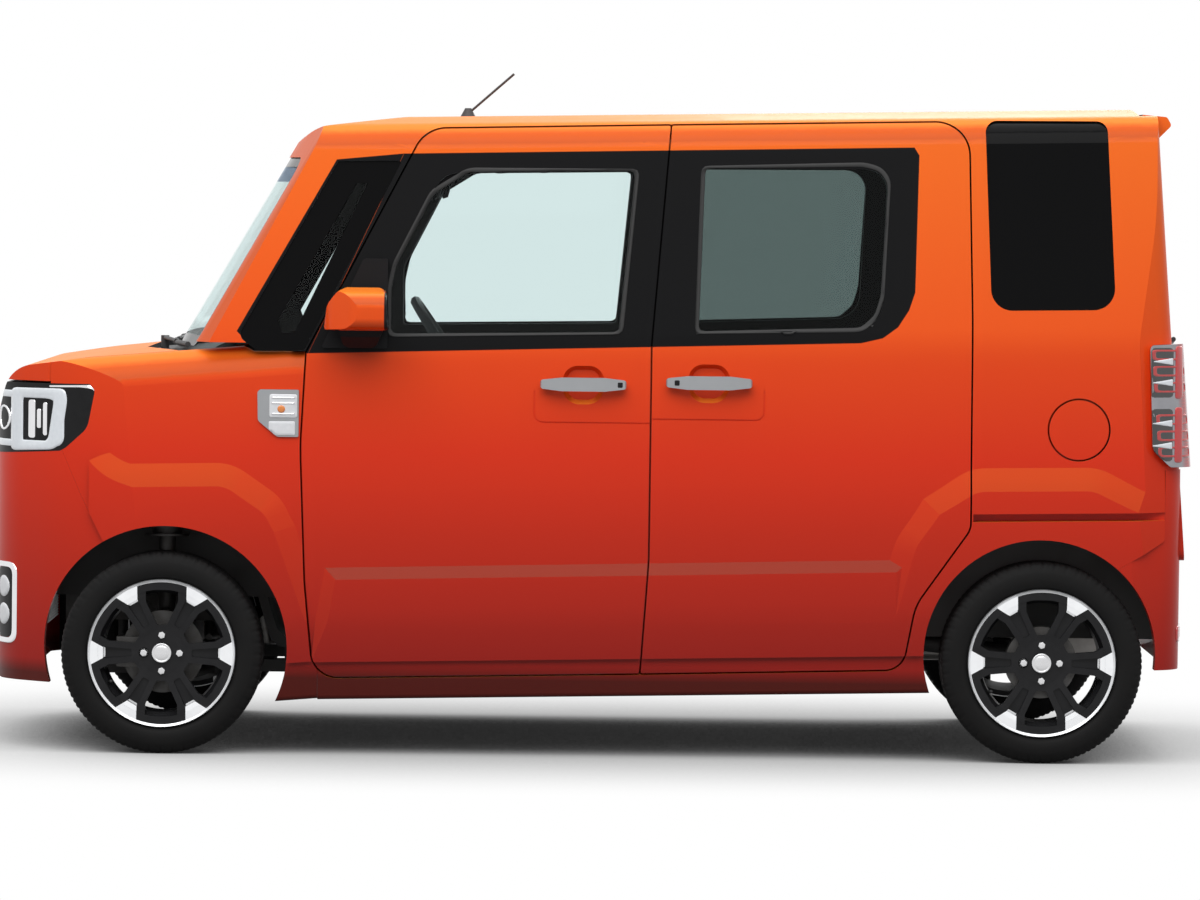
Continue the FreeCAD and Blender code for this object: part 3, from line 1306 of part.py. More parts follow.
antenna_base = V(A_SHUT - 441, 0, raked(A_SHUT - 441, ROOF) - 10)
antenna = rod(antenna_base + V(0, 0, 12), V(A_SHUT - 573, 0, raked(A_SHUT, ROOF) + 128), 3.5)
antenna = antenna.fuse(Part.makeCone(24, 9, 28, antenna_base, UP))
keep("antenna", antenna.cut(roof.translated(V(0, 0, SEAT))).cut(cabin_wall))


def screen_x(y, z):
    """The windscreen's outer face on its bowed plan."""
    bow = (abs(y) - 152) ** 2 / 3000 if abs(y) > 152 else 0
    if abs(y) > 465:
        bow = (abs(y) - 310) * 0.2136
    return screen_foot - bow + SCREEN_LEAN * (z - BELT)


def front_wiper(pivot_x, pivot_y, first, last):
    """Arm from its pivot to the middle of a blade that follows the glass."""
    level = belt_a + 14
    stops = [first + (last - first) * share / 3 for share in range(4)]
    points = [V(screen_x(y, level) + 13, y, level) for y in stops]
    middle = (points[1] + points[2]) * 0.5
    pivot = V(pivot_x, pivot_y, belt_a - 30)
    head = V(pivot_x, pivot_y, level + 6)
    pieces = [rod(pivot, head + V(0, 0, 6), 12), rod(head, middle + V(4, 0, 4), 6)]
    pieces += [rod(a, b, 8) for a, b in zip(points, points[1:])]
    return fused(pieces)


wipers = [
    front_wiper(A_SHUT + 374, -470, -420, 60),
    front_wiper(A_SHUT + 424, 90, 150, 600),
]
keep("front_wipers", Part.makeCompound(wipers))
for x, y in ((A_SHUT + 374, -470), (A_SHUT + 424, 90)):
    cowl = cowl.cut(Part.makeCylinder(12 + SEAT, 400, V(x, y, 900), UP))
keep("cowl_panel", cowl)
rear_pivot = V(tail_line + 12, 0, BELT - 40)
rear_arm = rod(rear_pivot, rear_pivot + V(-44, 0, 0), 13).fuse(
    rod(rear_pivot + V(-38, 0, 0), rear_pivot + V(-38, 300, 45), 7))
keep("rear_wiper", rear_arm.cut(gate.translated(V(-SEAT, 0, 0))).cut(cabin_wall))

# ------------------------------------------------------------------ document and files
for name, shape in parts.items():
    item = doc.addObject("Part::Feature", name)
    item.Label = name
    item.Shape = shape
    item.Placement = FreeCAD.Placement()
doc.recompute()
for item in doc.Objects:
    if "Invalid" in item.State or "Error" in item.State:
        raise RuntimeError("failed object " + item.Label)

DRAWN = ["engine", "drive_shafts", "rear_springs", "fuel_tank"]
DRAWN += [kind + corner for kind in ("tyre_", "alloy_wheel_", "brake_") for corner in CORNER_SIDES]
subparts = [doc.getObject(name) for name in list(parts) + DRAWN]
for item in subparts:
    if item.Shape.isNull() or not item.Shape.isValid() or not item.Shape.Solids:
        raise RuntimeError("bad shape " + item.Label)
os.makedirs("parts", exist_ok=True)
for item in subparts:
    item.Shape.exportStep("parts/%s.step" % item.Label)
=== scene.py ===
"""Look of a tall orange kei car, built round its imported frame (metres, +X forward, +Y left)."""
import math
import bpy
import bmesh
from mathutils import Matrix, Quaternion, Vector
from mathutils.bvhtree import BVHTree


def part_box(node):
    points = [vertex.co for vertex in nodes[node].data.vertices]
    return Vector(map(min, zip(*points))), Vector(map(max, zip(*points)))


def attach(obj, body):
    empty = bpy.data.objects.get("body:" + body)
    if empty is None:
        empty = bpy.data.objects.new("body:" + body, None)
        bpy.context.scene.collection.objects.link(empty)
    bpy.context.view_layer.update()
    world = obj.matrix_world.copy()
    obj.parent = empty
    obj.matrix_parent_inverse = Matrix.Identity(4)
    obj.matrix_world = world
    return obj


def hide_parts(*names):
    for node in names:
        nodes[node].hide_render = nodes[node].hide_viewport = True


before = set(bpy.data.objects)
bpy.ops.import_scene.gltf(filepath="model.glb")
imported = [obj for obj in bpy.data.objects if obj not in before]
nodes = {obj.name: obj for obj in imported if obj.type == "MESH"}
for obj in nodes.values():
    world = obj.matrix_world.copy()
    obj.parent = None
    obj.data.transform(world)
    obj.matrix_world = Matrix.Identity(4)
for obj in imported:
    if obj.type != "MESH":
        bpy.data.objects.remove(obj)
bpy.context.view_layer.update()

scene = bpy.context.scene

FRONT_AXLE, REAR_AXLE, AXLE_HEIGHT = 1.1725, -1.2825, 0.281
HALF = 0.7375  # half of the body's width
HUBS = {"front_left": (FRONT_AXLE, 0.6525), "front_right": (FRONT_AXLE, -0.6525),
        "rear_left": (REAR_AXLE, 0.6475), "rear_right": (REAR_AXLE, -0.6475)}


# ---- shader helpers
def node(tree, kind, inputs=None, **props):
    made = tree.nodes.new("ShaderNode" + kind)
    for key, value in props.items():
        setattr(made, key, value)
    for key, value in (inputs or {}).items():
        if isinstance(value, bpy.types.NodeSocket):
            tree.links.new(value, made.inputs[key])
        else:
            made.inputs[key].default_value = value
    return made


def maths(tree, operation, a, b=0.0):
    return node(tree, "Math", {0: a, 1: b}, operation=operation).outputs[0]


def times(tree, a, b):
    return maths(tree, "MULTIPLY", a, b)


def place(tree):
    return node(tree, "TexCoord").outputs["Object"]


def noise(tree, scale, detail=2.0):
    return node(tree, "TexNoise", {"Vector": place(tree), "Scale": scale,
                                   "Detail": detail}).outputs["Fac"]


def ramp(tree, value, start, end, first=0.0, last=1.0):
    """Number that runs from first to last while the value runs from start to end."""
    return node(tree, "MapRange", {0: value, 1: start, 2: end, 3: first, 4: last}).outputs[0]


def between(tree, factor, low, high):
    """Number that runs from low to high with the factor."""
    return ramp(tree, factor, 0.0, 1.0, low, high)


def split(tree, vector):
    return node(tree, "SeparateXYZ", {0: vector}).outputs


def feed(tree, shader, **values):
    """Links values to a shader's sockets; _ stands for a space."""
    for key, value in values.items():
        tree.links.new(value, shader.inputs[key.replace("_", " ")])


def mix(tree, factor, a, b):
    """Colour from a to b with the factor."""
    made = node(tree, "Mix", data_type="RGBA")
    for slot, value in ((0, factor), (6, a), (7, b)):
        if isinstance(value, bpy.types.NodeSocket):
            tree.links.new(value, made.inputs[slot])
        else:
            made.inputs[slot].default_value = value if slot == 0 else (*value, 1)
    return made.outputs[2]


def bumped(tree, height, strength, distance):
    return node(tree, "Bump", {"Height": height, "Strength": strength,
                               "Distance": distance}).outputs[0]


EDGE = 0.0008  # half of the soft edge of a region
SIDE, FRONT = (0, 2), (1, 2)  # the two axes that an outline is drawn in


def region(tree, outline, plane=SIDE):
    """1 inside the convex outline drawn in two of the object's axes, 0 outside."""
    where = split(tree, place(tree))
    sides = list(zip(outline, outline[1:] + outline[:1]))
    area = sum(a[0] * b[1] - b[0] * a[1] for a, b in sides)
    turn = 1 if area > 0 else -1
    depth = None
    for a, b in sides:
        run = math.dist(a, b)
        nx, nz = -(b[1] - a[1]) / run * turn, (b[0] - a[0]) / run * turn
        along = times(tree, where[plane[0]], nx)
        reach = node(tree, "Math", {0: where[plane[1]], 1: nz, 2: along},
                     operation="MULTIPLY_ADD").outputs[0]
        reach = maths(tree, "SUBTRACT", reach, a[0] * nx + a[1] * nz)
        depth = reach if depth is None else maths(tree, "MINIMUM", depth, reach)
    return ramp(tree, depth, -EDGE, EDGE)


def either(tree, masks):
    whole = masks[0]
    for mask in masks[1:]:
        whole = maths(tree, "MAXIMUM", whole, mask)
    return whole


def material(name, colour, roughness, metallic=0.0, **values):
    made = bpy.data.materials.new(name)
    made.use_nodes = True
    tree = made.node_tree
    shader = tree.nodes["Principled BSDF"]
    shader.inputs["Base Color"].default_value = (*colour, 1)
    shader.inputs["Roughness"].default_value = roughness
    shader.inputs["Metallic"].default_value = metallic
    for key, value in values.items():
        shader.inputs[key.replace("_", " ")].default_value = value
    return made, tree, shader


def textured(name, colour, other, roughness, metallic, scale, spread, *grain, **values):
    """Colour that wanders to another, roughness that wanders, and a fine grain.

    scale and spread are those of the wander; grain holds its scale, depth and strength.
    """
    made, tree, shader = material(name, colour, roughness, metallic, **values)
    wander = noise(tree, scale, 4.0)
    rough = between(tree, wander, max(roughness - spread, 0.02), min(roughness + spread, 1))
    feed(tree, shader, Base_Color=mix(tree, wander, colour, other), Roughness=rough)
    if grain:
        fine, depth, strength = grain
        feed(tree, shader, Normal=bumped(tree, noise(tree, fine, 3.0), strength, depth))
    return made


# ---- materials
# (x, z) of the black window frames and of the panes' clear parts
DOOR_FRAMES = [(0.772, 1.1217), (0.5134, 1.6806), (-0.9105, 1.7146), (-0.9244, 1.6927),
               (-0.916, 1.311), (-0.8993, 1.261), (-0.8688, 1.2136), (-0.827, 1.1827),
               (-0.7659, 1.1681), (-0.154, 1.1496)]
CORNER_PANE = [(0.70, 1.662), (0.5134, 1.6806), (0.772, 1.1217), (0.9, 1.1170),
               (0.93, 1.1390), (0.972, 1.1812)]
CORNER_CLEAR = [(0.6441, 1.5961), (0.6135, 1.5964), (0.811, 1.1793), (0.8443, 1.1761),
                (0.8582, 1.2119)]
FRONT_CLEAR = [(0.3326, 1.632), (0.43, 1.571), (0.530, 1.375), (0.5451, 1.3068),
               (0.5443, 1.178), (-0.0929, 1.190), (-0.1346, 1.640)]
REAR_CLEAR = [(-0.3265, 1.650), (-0.770, 1.6606), (-0.815, 1.648), (-0.8382, 1.6142),
              (-0.8215, 1.3), (-0.805, 1.245), (-0.7659, 1.2096), (-0.3126, 1.195)]

# the paint's colours with painted light and shade: painted shade on the tucked sill and low down,
# painted light higher up, a painted highlight where it faces the sky, and painted crease shade on
# the pressed bands
TUCK_SHADE, SILL_SHADE, WAIST = (0.06, 0.002, 0.003), (0.30, 0.007, 0.008), (0.74, 0.030, 0.008)
SHOULDER_LIGHT, CROWN_LIGHT, SKY_HIGHLIGHT = (0.86, 0.072, 0.008), (0.90, 0.150, 0.012), (0.76, 0.19, 0.018)
LOW_BAND_SHADE, HIGH_BAND_SHADE, FLAKE = (0.22, 0.009, 0.004), (0.52, 0.070, 0.006), (0.95, 0.16, 0.03)
BLACK_FRAME, BLACK_FOOT = (0.006, 0.006, 0.0065), (0.014, 0.014, 0.015)


def height_ramp(tree, low, high):
    """0 below the low height, 1 above the high one."""
    return ramp(tree, split(tree, place(tree))[2], low, high)


def facing(tree, axis):
    """One part of the surface's direction, as the piece stands at rest."""
    return split(tree, node(tree, "TexCoord").outputs["Normal"])[axis]


def upward(tree):
    """How far the surface faces the sky, from 0 to 1."""
    return maths(tree, "MAXIMUM", facing(tree, 2), 0.0)


# heights above which ends are trimmed and roofs are lined, and where the lining stops behind
TRIM_FROM, LINING_FROM, LINING_BACK = 0.66, 1.66, -1.54


def cabin_side(tree):
    """Masks for the panels' trimmed insides and for the roof lining."""
    where = split(tree, place(tree))
    across = maths(tree, "LESS_THAN", times(tree, where[1], facing(tree, 1)), -0.30)
    along = maths(tree, "LESS_THAN", times(tree, where[0], facing(tree, 0)), -0.60)
    along = times(tree, along, maths(tree, "GREATER_THAN", where[2], TRIM_FROM))
    roof = maths(tree, "LESS_THAN", facing(tree, 2), -0.6)
    roof = times(tree, roof, maths(tree, "GREATER_THAN", where[2], LINING_FROM))
    roof = times(tree, roof, maths(tree, "GREATER_THAN", where[0], LINING_BACK))
    return maths(tree, "MAXIMUM", across, along), roof


def paint(name, blacks=()):
    """Orange over flakes, with painted light and shade: painted shade deeper red low down, painted
    light yellower up high and where it faces the sky.
    """
    made, tree, shader = material(name, (0.7, 0.07, 0.016), 0.42, 0.06, Coat_Weight=0.18,
                                  Coat_Roughness=0.05, Specular_IOR_Level=0.06)
    # painted shade and light: darker red towards the bottom and darkest on the tucked sill,
    # yellower towards the top and where the surface faces the sky
    body = mix(tree, height_ramp(tree, 0.2, 0.85), SILL_SHADE, WAIST)
    body = mix(tree, height_ramp(tree, 0.215, 0.255), TUCK_SHADE, body)
    body = mix(tree, height_ramp(tree, 0.85, 1.2), body, SHOULDER_LIGHT)
    body = mix(tree, height_ramp(tree, 1.1, 1.8), body, CROWN_LIGHT)
    body = mix(tree, maths(tree, "POWER", upward(tree), 1.1), body, SKY_HIGHLIGHT)
    # painted crease shade: faces tilted part way up, on the pressed bands, get darker colours
    rising = ramp(tree, upward(tree), 0.15, 0.30)
    ending = ramp(tree, upward(tree), 0.62, 0.80, 1.0, 0.0)
    tilted_shade = times(tree, times(tree, rising, ending), 0.85)
    band_shade = mix(tree, height_ramp(tree, 0.62, 0.80), LOW_BAND_SHADE, HIGH_BAND_SHADE)
    body = mix(tree, tilted_shade, body, band_shade)
    flakes = noise(tree, 2600, 1.0)
    body = mix(tree, times(tree, flakes, 0.07), body, FLAKE)
    inside, lining = cabin_side(tree)
    trim = mix(tree, noise(tree, 50), (0.030, 0.030, 0.032), (0.042, 0.042, 0.044))
    cloth = mix(tree, noise(tree, 400), (0.30, 0.29, 0.275), (0.36, 0.35, 0.33))
    body = mix(tree, inside, body, trim)
    body = mix(tree, lining, body, cloth)
    outside = maths(tree, "SUBTRACT", 1.0, maths(tree, "MAXIMUM", inside, lining))
    coat = times(tree, between(tree, upward(tree), 0.18, 0.04), outside)
    if blacks:
        mask = either(tree, [region(tree, outline) for outline in blacks])
        body = mix(tree, mask, body, BLACK_FRAME)
        coat = times(tree, coat, between(tree, mask, 1.0, 0.1))
        feed(tree, shader, Metallic=between(tree, mask, 0.06, 0.0))
    feed(tree, shader, Coat_Weight=coat, Base_Color=body,
         Roughness=between(tree, noise(tree, 9, 4.0), 0.38, 0.46),
         Coat_Normal=bumped(tree, noise(tree, 320, 1.0), 0.04, 0.0004))
    return made


def mirror_paint():
    """Orange cap, with the paint's painted light and shade, on a black foot, sail and bezel."""
    made = paint("mirror_cap_paint")
    tree = made.node_tree
    shader = tree.nodes["Principled BSDF"]
    where = split(tree, place(tree))
    far = maths(tree, "ABSOLUTE", where[1])
    mask = either(tree, [ramp(tree, far, 0.7340, 0.7350, 1.0, 0.0),
                         ramp(tree, where[2], 1.1885, 1.1895, 1.0, 0.0),
                         ramp(tree, where[0], 0.5560, 0.5568, 1.0, 0.0)])
    cap = shader.inputs["Base Color"].links[0].from_socket
    feed(tree, shader, Base_Color=mix(tree, mask, cap, BLACK_FOOT),
         Metallic=between(tree, mask, 0.06, 0.0), Coat_Weight=between(tree, mask, 0.18, 0.02))
    return made


def tail_shell():
    """Red lens behind, smoky clear housing round the side."""
    made, tree, shader = material("tail_lamp_shell", (0.4, 0.005, 0.006), 0.10, 0.0,
                                  Coat_Weight=0.8)
    side = ramp(tree, maths(tree, "ABSOLUTE", facing(tree, 1)), 0.5, 0.8)
    ribs = node(tree, "TexWave", {"Vector": place(tree), "Scale": 34.0, "Distortion": 0.0},
                bands_direction="Z").outputs["Fac"]
    red = mix(tree, ribs, (0.42, 0.004, 0.005), (0.60, 0.010, 0.010))
    clear = mix(tree, noise(tree, 40), (0.34, 0.34, 0.36), (0.24, 0.24, 0.26))
    feed(tree, shader, Base_Color=mix(tree, side, red, clear),
         Metallic=between(tree, side, 0.0, 0.5), Roughness=between(tree, ribs, 0.08, 0.18))
    return made


SPOKE_TURN = math.pi / 6  # half of the angle between two spokes
TIP_START, TIP_END, LIP = 0.1575, 0.198, 0.1985  # radii of the machined parts


def wheel_look(name, corner):
    """Satin black wheel with machined tips between the spokes and a machined lip."""
    made, tree, shader = material(name, (0.01, 0.01, 0.011), 0.32, 0.0, Coat_Weight=0.12,
                                  Coat_Roughness=0.12, Specular_IOR_Level=0.12)
    where = split(tree, place(tree))
    x = maths(tree, "SUBTRACT", where[0], HUBS[corner][0])
    z = maths(tree, "SUBTRACT", where[2], AXLE_HEIGHT)
    turn = maths(tree, "ARCTAN2", z, x)
    local = node(tree, "Math", {0: turn, 1: SPOKE_TURN, 2: -SPOKE_TURN},
                 operation="WRAP").outputs[0]
    far = maths(tree, "SQRT", maths(tree, "ADD", times(tree, x, x), times(tree, z, z)))
    out = times(tree, far, maths(tree, "COSINE", local))
    side = maths(tree, "ABSOLUTE", times(tree, far, maths(tree, "SINE", local)))
    tip = maths(tree, "LESS_THAN", side, ramp(tree, out, 0.158, TIP_END, 0.0125, 0.0345))
    tip = times(tree, tip, maths(tree, "GREATER_THAN", out, TIP_START))
    lip = maths(tree, "GREATER_THAN", far, LIP)
    flat = maths(tree, "GREATER_THAN", maths(tree, "ABSOLUTE", facing(tree, 1)), 0.75)
    bright = maths(tree, "MAXIMUM", times(tree, tip, flat), lip)
    lines = node(tree, "TexWave", {"Vector": place(tree), "Scale": 260.0, "Distortion": 0.4},
                 wave_type="RINGS", rings_direction="Y").outputs["Fac"]
    silver = mix(tree, noise(tree, 30), (0.90, 0.91, 0.92), (0.78, 0.79, 0.81))
    black = mix(tree, noise(tree, 40), (0.007, 0.007, 0.008), (0.016, 0.016, 0.017))
    rough = node(tree, "Mix", {0: bright, 2: between(tree, noise(tree, 25), 0.26, 0.40),
                               3: between(tree, lines, 0.34, 0.46)}, data_type="FLOAT").outputs[0]
    feed(tree, shader, Base_Color=mix(tree, bright, black, silver), Metallic=bright,
         Roughness=rough)
    return made


def pane(name, *clear):
    """Window glass that tints what is behind it, fired black outside its clear parts.

    clear holds (outline, plane, tint) of each.
    """
    made, tree, shader = material(name, (0.003, 0.003, 0.0033), 0.14, 0.0,
                                  Specular_IOR_Level=0.06)
    masks = [region(tree, outline, plane) for outline, plane, _ in clear]
    tint = clear[0][2]
    for mask, (_, _, own) in zip(masks[1:], clear[1:]):
        tint = mix(tree, mask, tint, own)
    through = node(tree, "BsdfTransparent", {"Color": tint if clear[1:] else (*tint, 1)})
    smear = between(tree, noise(tree, 6, 3.0), 0.015, 0.05)
    gloss = node(tree, "BsdfGlossy", {"Color": (1, 1, 1, 1), "Roughness": smear})
    rim = node(tree, "LayerWeight", {"Blend": 0.12}).outputs["Fresnel"]
    whole = node(tree, "MixShader", {0: between(tree, rim, 0.006, 0.18), 1: through.outputs[0],
                                     2: gloss.outputs[0]})
    whole = node(tree, "MixShader", {0: either(tree, masks), 1: shader.outputs[0],
                                     2: whole.outputs[0]})
    feed(tree, tree.nodes["Material Output"], Surface=whole.outputs[0])
    return made


CLEAR, PRIVACY, SHADE_BAND = (0.90, 0.945, 0.943), (0.54, 0.592, 0.585), (0.60, 0.66, 0.72)
M = {
    "paint": paint("orange_paint"),
    "mirror": mirror_paint(),
    "tail_shell": tail_shell(),
    "door_paint": paint("orange_paint_black_frames", [DOOR_FRAMES, CORNER_PANE]),
    "black_gloss": textured("black_gloss", (0.008, 0.008, 0.009), (0.014, 0.014, 0.015), 0.12,
                            0, 30, 0.05, Coat_Weight=1.0, Coat_Roughness=0.03),
    "black_plastic": textured("black_plastic", (0.018, 0.018, 0.019), (0.03, 0.03, 0.031), 0.55,
                              0, 60, 0.1, 900, 0.0003, 0.4),
    "rubber": textured("rubber", (0.012, 0.012, 0.012), (0.022, 0.022, 0.022), 0.7,
                       0, 25, 0.1, 500, 0.0002, 0.3),
    "tyre": textured("tyre_rubber", (0.006, 0.006, 0.0065), (0.013, 0.0125, 0.012), 0.62,
                     0, 18, 0.12, 700, 0.0003, 0.4, Specular_IOR_Level=0.1),
    "chrome": textured("chrome", (0.83, 0.83, 0.84), (0.72, 0.72, 0.74), 0.08, 1.0, 20, 0.04),
    "machined": textured("machined_alloy", (0.72, 0.72, 0.73), (0.6, 0.6, 0.61), 0.26, 1.0,
                         60, 0.08, 900, 0.0001, 0.3),
    "steel": textured("steel", (0.42, 0.41, 0.40), (0.28, 0.26, 0.24), 0.42, 1.0, 35, 0.15,
                      400, 0.0002, 0.3),
    "cast": textured("cast_metal", (0.10, 0.10, 0.10), (0.06, 0.055, 0.05), 0.6, 0.8, 30, 0.12,
                     300, 0.0005, 0.5),
    "chassis": textured("chassis_black", (0.022, 0.022, 0.023), (0.045, 0.043, 0.04), 0.6, 0,
                        12, 0.15, 260, 0.0004, 0.4),
    "interior": textured("interior_plastic", (0.030, 0.030, 0.032), (0.045, 0.045, 0.047), 0.6,
                         0, 50, 0.08, 1400, 0.0004, 0.5),
    "front_glass": pane("front_door_glass", (FRONT_CLEAR, SIDE, CLEAR)),
    "side_glass": pane("side_glass", (CORNER_CLEAR, SIDE, CLEAR), (REAR_CLEAR, SIDE, PRIVACY)),
    "gate_glass": pane("tailgate_glass", ([(-0.50, 1.20), (0.50, 1.20), (0.475, 1.655),
                                           (-0.475, 1.655)], FRONT, PRIVACY)),
    "screen": pane("screen_glass", ([(-0.60, 1.165), (0.60, 1.165), (0.555, 1.64),
                                     (-0.555, 1.64)], FRONT, CLEAR),
                   ([(-0.57, 1.598), (0.57, 1.598), (0.555, 1.64), (-0.555, 1.64)], FRONT,
                    SHADE_BAND)),
    "red_lens": textured("red_lens", (0.45, 0.005, 0.006), (0.6, 0.01, 0.01), 0.1, 0, 40, 0.04,
                         Coat_Weight=1.0),
    "white_lamp": textured("white_lamp", (0.85, 0.86, 0.88), (0.7, 0.72, 0.75), 0.2, 0, 80,
                           0.05),
    "satin_black": textured("satin_black", (0.009, 0.009, 0.0095), (0.016, 0.016, 0.017), 0.38, 0,
                            40, 0.08, 1200, 0.0001, 0.2, Specular_IOR_Level=0.12),
    "silver": textured("silver_paint", (0.36, 0.37, 0.385), (0.30, 0.31, 0.32), 0.30, 0.45, 12,
                       0.05, 2600, 0.00003, 0.1, Coat_Weight=0.4),
    "glow": textured("lamp_guide", (0.60, 0.64, 0.68), (0.74, 0.77, 0.80), 0.12, 0, 90, 0.05,
                     Emission_Color=(0.82, 0.88, 0.95, 1), Emission_Strength=0.12,
                     Coat_Weight=1.0),
    "amber": textured("amber_bulb", (0.85, 0.26, 0.02), (0.7, 0.18, 0.015), 0.2, 0, 90, 0.05,
                      Coat_Weight=1.0),
    "mirror_glass": textured("mirror_glass", (0.72, 0.75, 0.78), (0.66, 0.70, 0.74), 0.03, 1.0,
                             12, 0.02),
    "screen_off": textured("dark_display", (0.008, 0.009, 0.011), (0.014, 0.015, 0.018), 0.08, 0,
                           20, 0.04, Coat_Weight=1.0),
    "red_strip": textured("red_light_strip", (0.50, 0.004, 0.006), (0.66, 0.010, 0.010), 0.16, 0,
                          60, 0.05, Coat_Weight=1.0),
    "piping": textured("seat_piping", (0.10, 0.10, 0.105), (0.16, 0.16, 0.165), 0.7, 0, 300, 0.05,
                       2200, 0.0004, 0.6, Sheen_Weight=0.2),
    "fabric": textured("seat_fabric", (0.02, 0.02, 0.022), (0.045, 0.045, 0.048), 0.9, 0, 300,
                       0.05, 1800, 0.0008, 0.8, Sheen_Weight=0.3),
}

# the CAD nodes that wear each look, by the starts of their names; the longest fit counts
NODE_LOOKS = {
    "black_gloss": "grille",
    "black_plastic": "antenna cowl_panel front_wipers rear_wiper",
    "cast": "brake_front brake_rear engine knuckle steering_rack",
    "chassis": "drive_shafts floor_pan front_frame front_subframe fuel_tank rear_axle "
               "wheel_liners",
    "door_paint": "body_side front_door sliding_doors",
    "fabric": "front_seats rear_seat",
    "front_glass": "front_door_glass",
    "gate_glass": "tailgate_glass",
    "interior": "dashboard steering_wheel",
    "mirror": "door_mirror",
    "paint": "bonnet front_bumper front_wings fuel_lid rear_bumper roof_panel tailgate",
    "satin_black": "headlights",
    "screen": "windscreen",
    "side_glass": "side_windows",
    "silver": "front_door_handle side_garnishes sliding_door_handles",
    "steel": "exhaust rear_springs",
    "tail_shell": "tail_lamps",
    "tyre": "tyre",
}
STARTS = {start: look for look, starts in NODE_LOOKS.items() for start in starts.split()}
for corner in HUBS:
    M["wheel_" + corner] = wheel_look("wheel_" + corner, corner)
    STARTS["alloy_wheel_" + corner] = "wheel_" + corner
for name, thing in nodes.items():
    start = max(filter(name.startswith, STARTS), key=len)
    thing.data.materials.clear()
    thing.data.materials.append(M[STARTS[start]])


# ---- piece helpers
def add(name, form, look, body="body", smooth=True):
    """A piece from a form, which is its points and faces, riding on one of the bodies."""
    points, faces = form
    mesh = bpy.data.meshes.new(name)
    mesh.from_pydata([tuple(point) for point in points], [], faces)
    mesh.materials.append(M[look])
    for face in mesh.polygons:
        face.use_smooth = smooth
    mesh.update()
    thing = bpy.data.objects.new(name, mesh)
    scene.collection.objects.link(thing)
    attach(thing, body)
    return thing


def joined(parts):
    """One list of points and faces from several."""
    points, faces = [], []
    for more, these in parts:
        start = len(points)
        points += more
        faces += [tuple(start + index for index in face) for face in these]
    return points, faces


def grid(rows, closed=True, cap=False):
    """Faces between rows of points; each row is closed when asked."""
    points = [point for row in rows for point in row]
    count = len(rows[0])
    last = count if closed else count - 1
    faces = [(r * count + c, r * count + (c + 1) % count, (r + 1) * count + (c + 1) % count,
              (r + 1) * count + c) for r in range(len(rows) - 1) for c in range(last)]
    if cap:
        faces.append(tuple(reversed(range(count))))
        faces.append(tuple((len(rows) - 1) * count + c for c in range(count)))
    return points, faces


def lathe(centre, axis, profile, count):
    """Turned form: profile holds (along the axis, radius)."""
    axis = Vector(axis).normalized()
    side = axis.orthogonal().normalized()
    other = axis.cross(side)
    rows = []
    for along, radius in profile:
        rows.append([Vector(centre) + axis * along
                     + side * radius * math.cos(2 * math.pi * k / count)
                     + other * radius * math.sin(2 * math.pi * k / count)
                     for k in range(count)])
    return grid(rows, cap=True)


def tube(path, radius, count, closed=False):
    path = [Vector(point) for point in path]
    rows = []
    total = len(path)
    side = None
    for k, point in enumerate(path):
        before = path[(k - 1) % total] if closed or k else point
        after = path[(k + 1) % total] if closed or k < total - 1 else point
        ahead = (after - before).normalized()
        side = (side - ahead * side.dot(ahead) if side else ahead.orthogonal()).normalized()
        other = ahead.cross(side)
        rows.append([point + (side * math.cos(2 * math.pi * c / count)
                              + other * math.sin(2 * math.pi * c / count)) * radius
                     for c in range(count)])
    if closed:
        rows.append(rows[0])
    return grid(rows, cap=not closed)


def even(outline, count, radius):
    """Points evenly along a closed outline, with its corners rounded by the radius."""
    corners = [Vector(point) for point in outline]
    run = []
    for k, corner in enumerate(corners):
        back, ahead = corners[k - 1] - corner, corners[(k + 1) % len(corners)] - corner
        cut_back = min(radius, back.length * 0.45)
        cut_ahead = min(radius, ahead.length * 0.45)
        start = corner + back.normalized() * cut_back
        end = corner + ahead.normalized() * cut_ahead
        run += [start * (1 - t) ** 2 + corner * 2 * t * (1 - t) + end * t * t
                for t in (0.0, 0.25, 0.5, 0.75, 1.0)]
    lengths = [(run[(k + 1) % len(run)] - run[k]).length for k in range(len(run))]
    whole = sum(lengths)
    made, k, gone = [], 0, 0.0
    for step in range(count):
        target = whole * step / count
        while gone + lengths[k] < target:
            gone += lengths[k]
            k += 1
        share = (target - gone) / lengths[k] if lengths[k] else 0
        made.append(run[k].lerp(run[(k + 1) % len(run)], share))
    return made


def surface(*names):
    points, faces = [], []
    for name in names:
        start = len(points)
        mesh = nodes[name].data
        points += [vertex.co.copy() for vertex in mesh.vertices]
        faces += [[start + index for index in face.vertices] for face in mesh.polygons]
    return BVHTree.FromPolygons(points, faces)


# for each way of looking: towards the eye, and the direction that counts as across
VIEWS = {"side": ((0, 1, 0), (1, 0, 0)), "front": ((1, 0, 0), (0, 1, 0)),
         "rear": ((-1, 0, 0), (0, 1, 0))}
CAST_FROM, CAST_IN = 3.0, 2.2  # start outside the car, and way inwards when the cast misses
SINK = 0.0015  # how far a form's rim lies under the surface
# (share of the way inwards, share of the rise) of a ring and of a plate
RING = ((0.03, 0.6), (0.18, 1), (0.5, 1.15), (0.82, 1), (0.97, 0.6))
PLATE = ((0.015, 0.6), (0.06, 1), (0.4, 1.12), (0.75, 1.18), (1, 1.2))
TO_MIDDLE = 0.985  # how far a plate's rows go towards its middle
HOLE_CORNERS = 0.7  # radius of a hole's corners against that of the outline's
SIXTEENTH = 0.3927  # of a turn


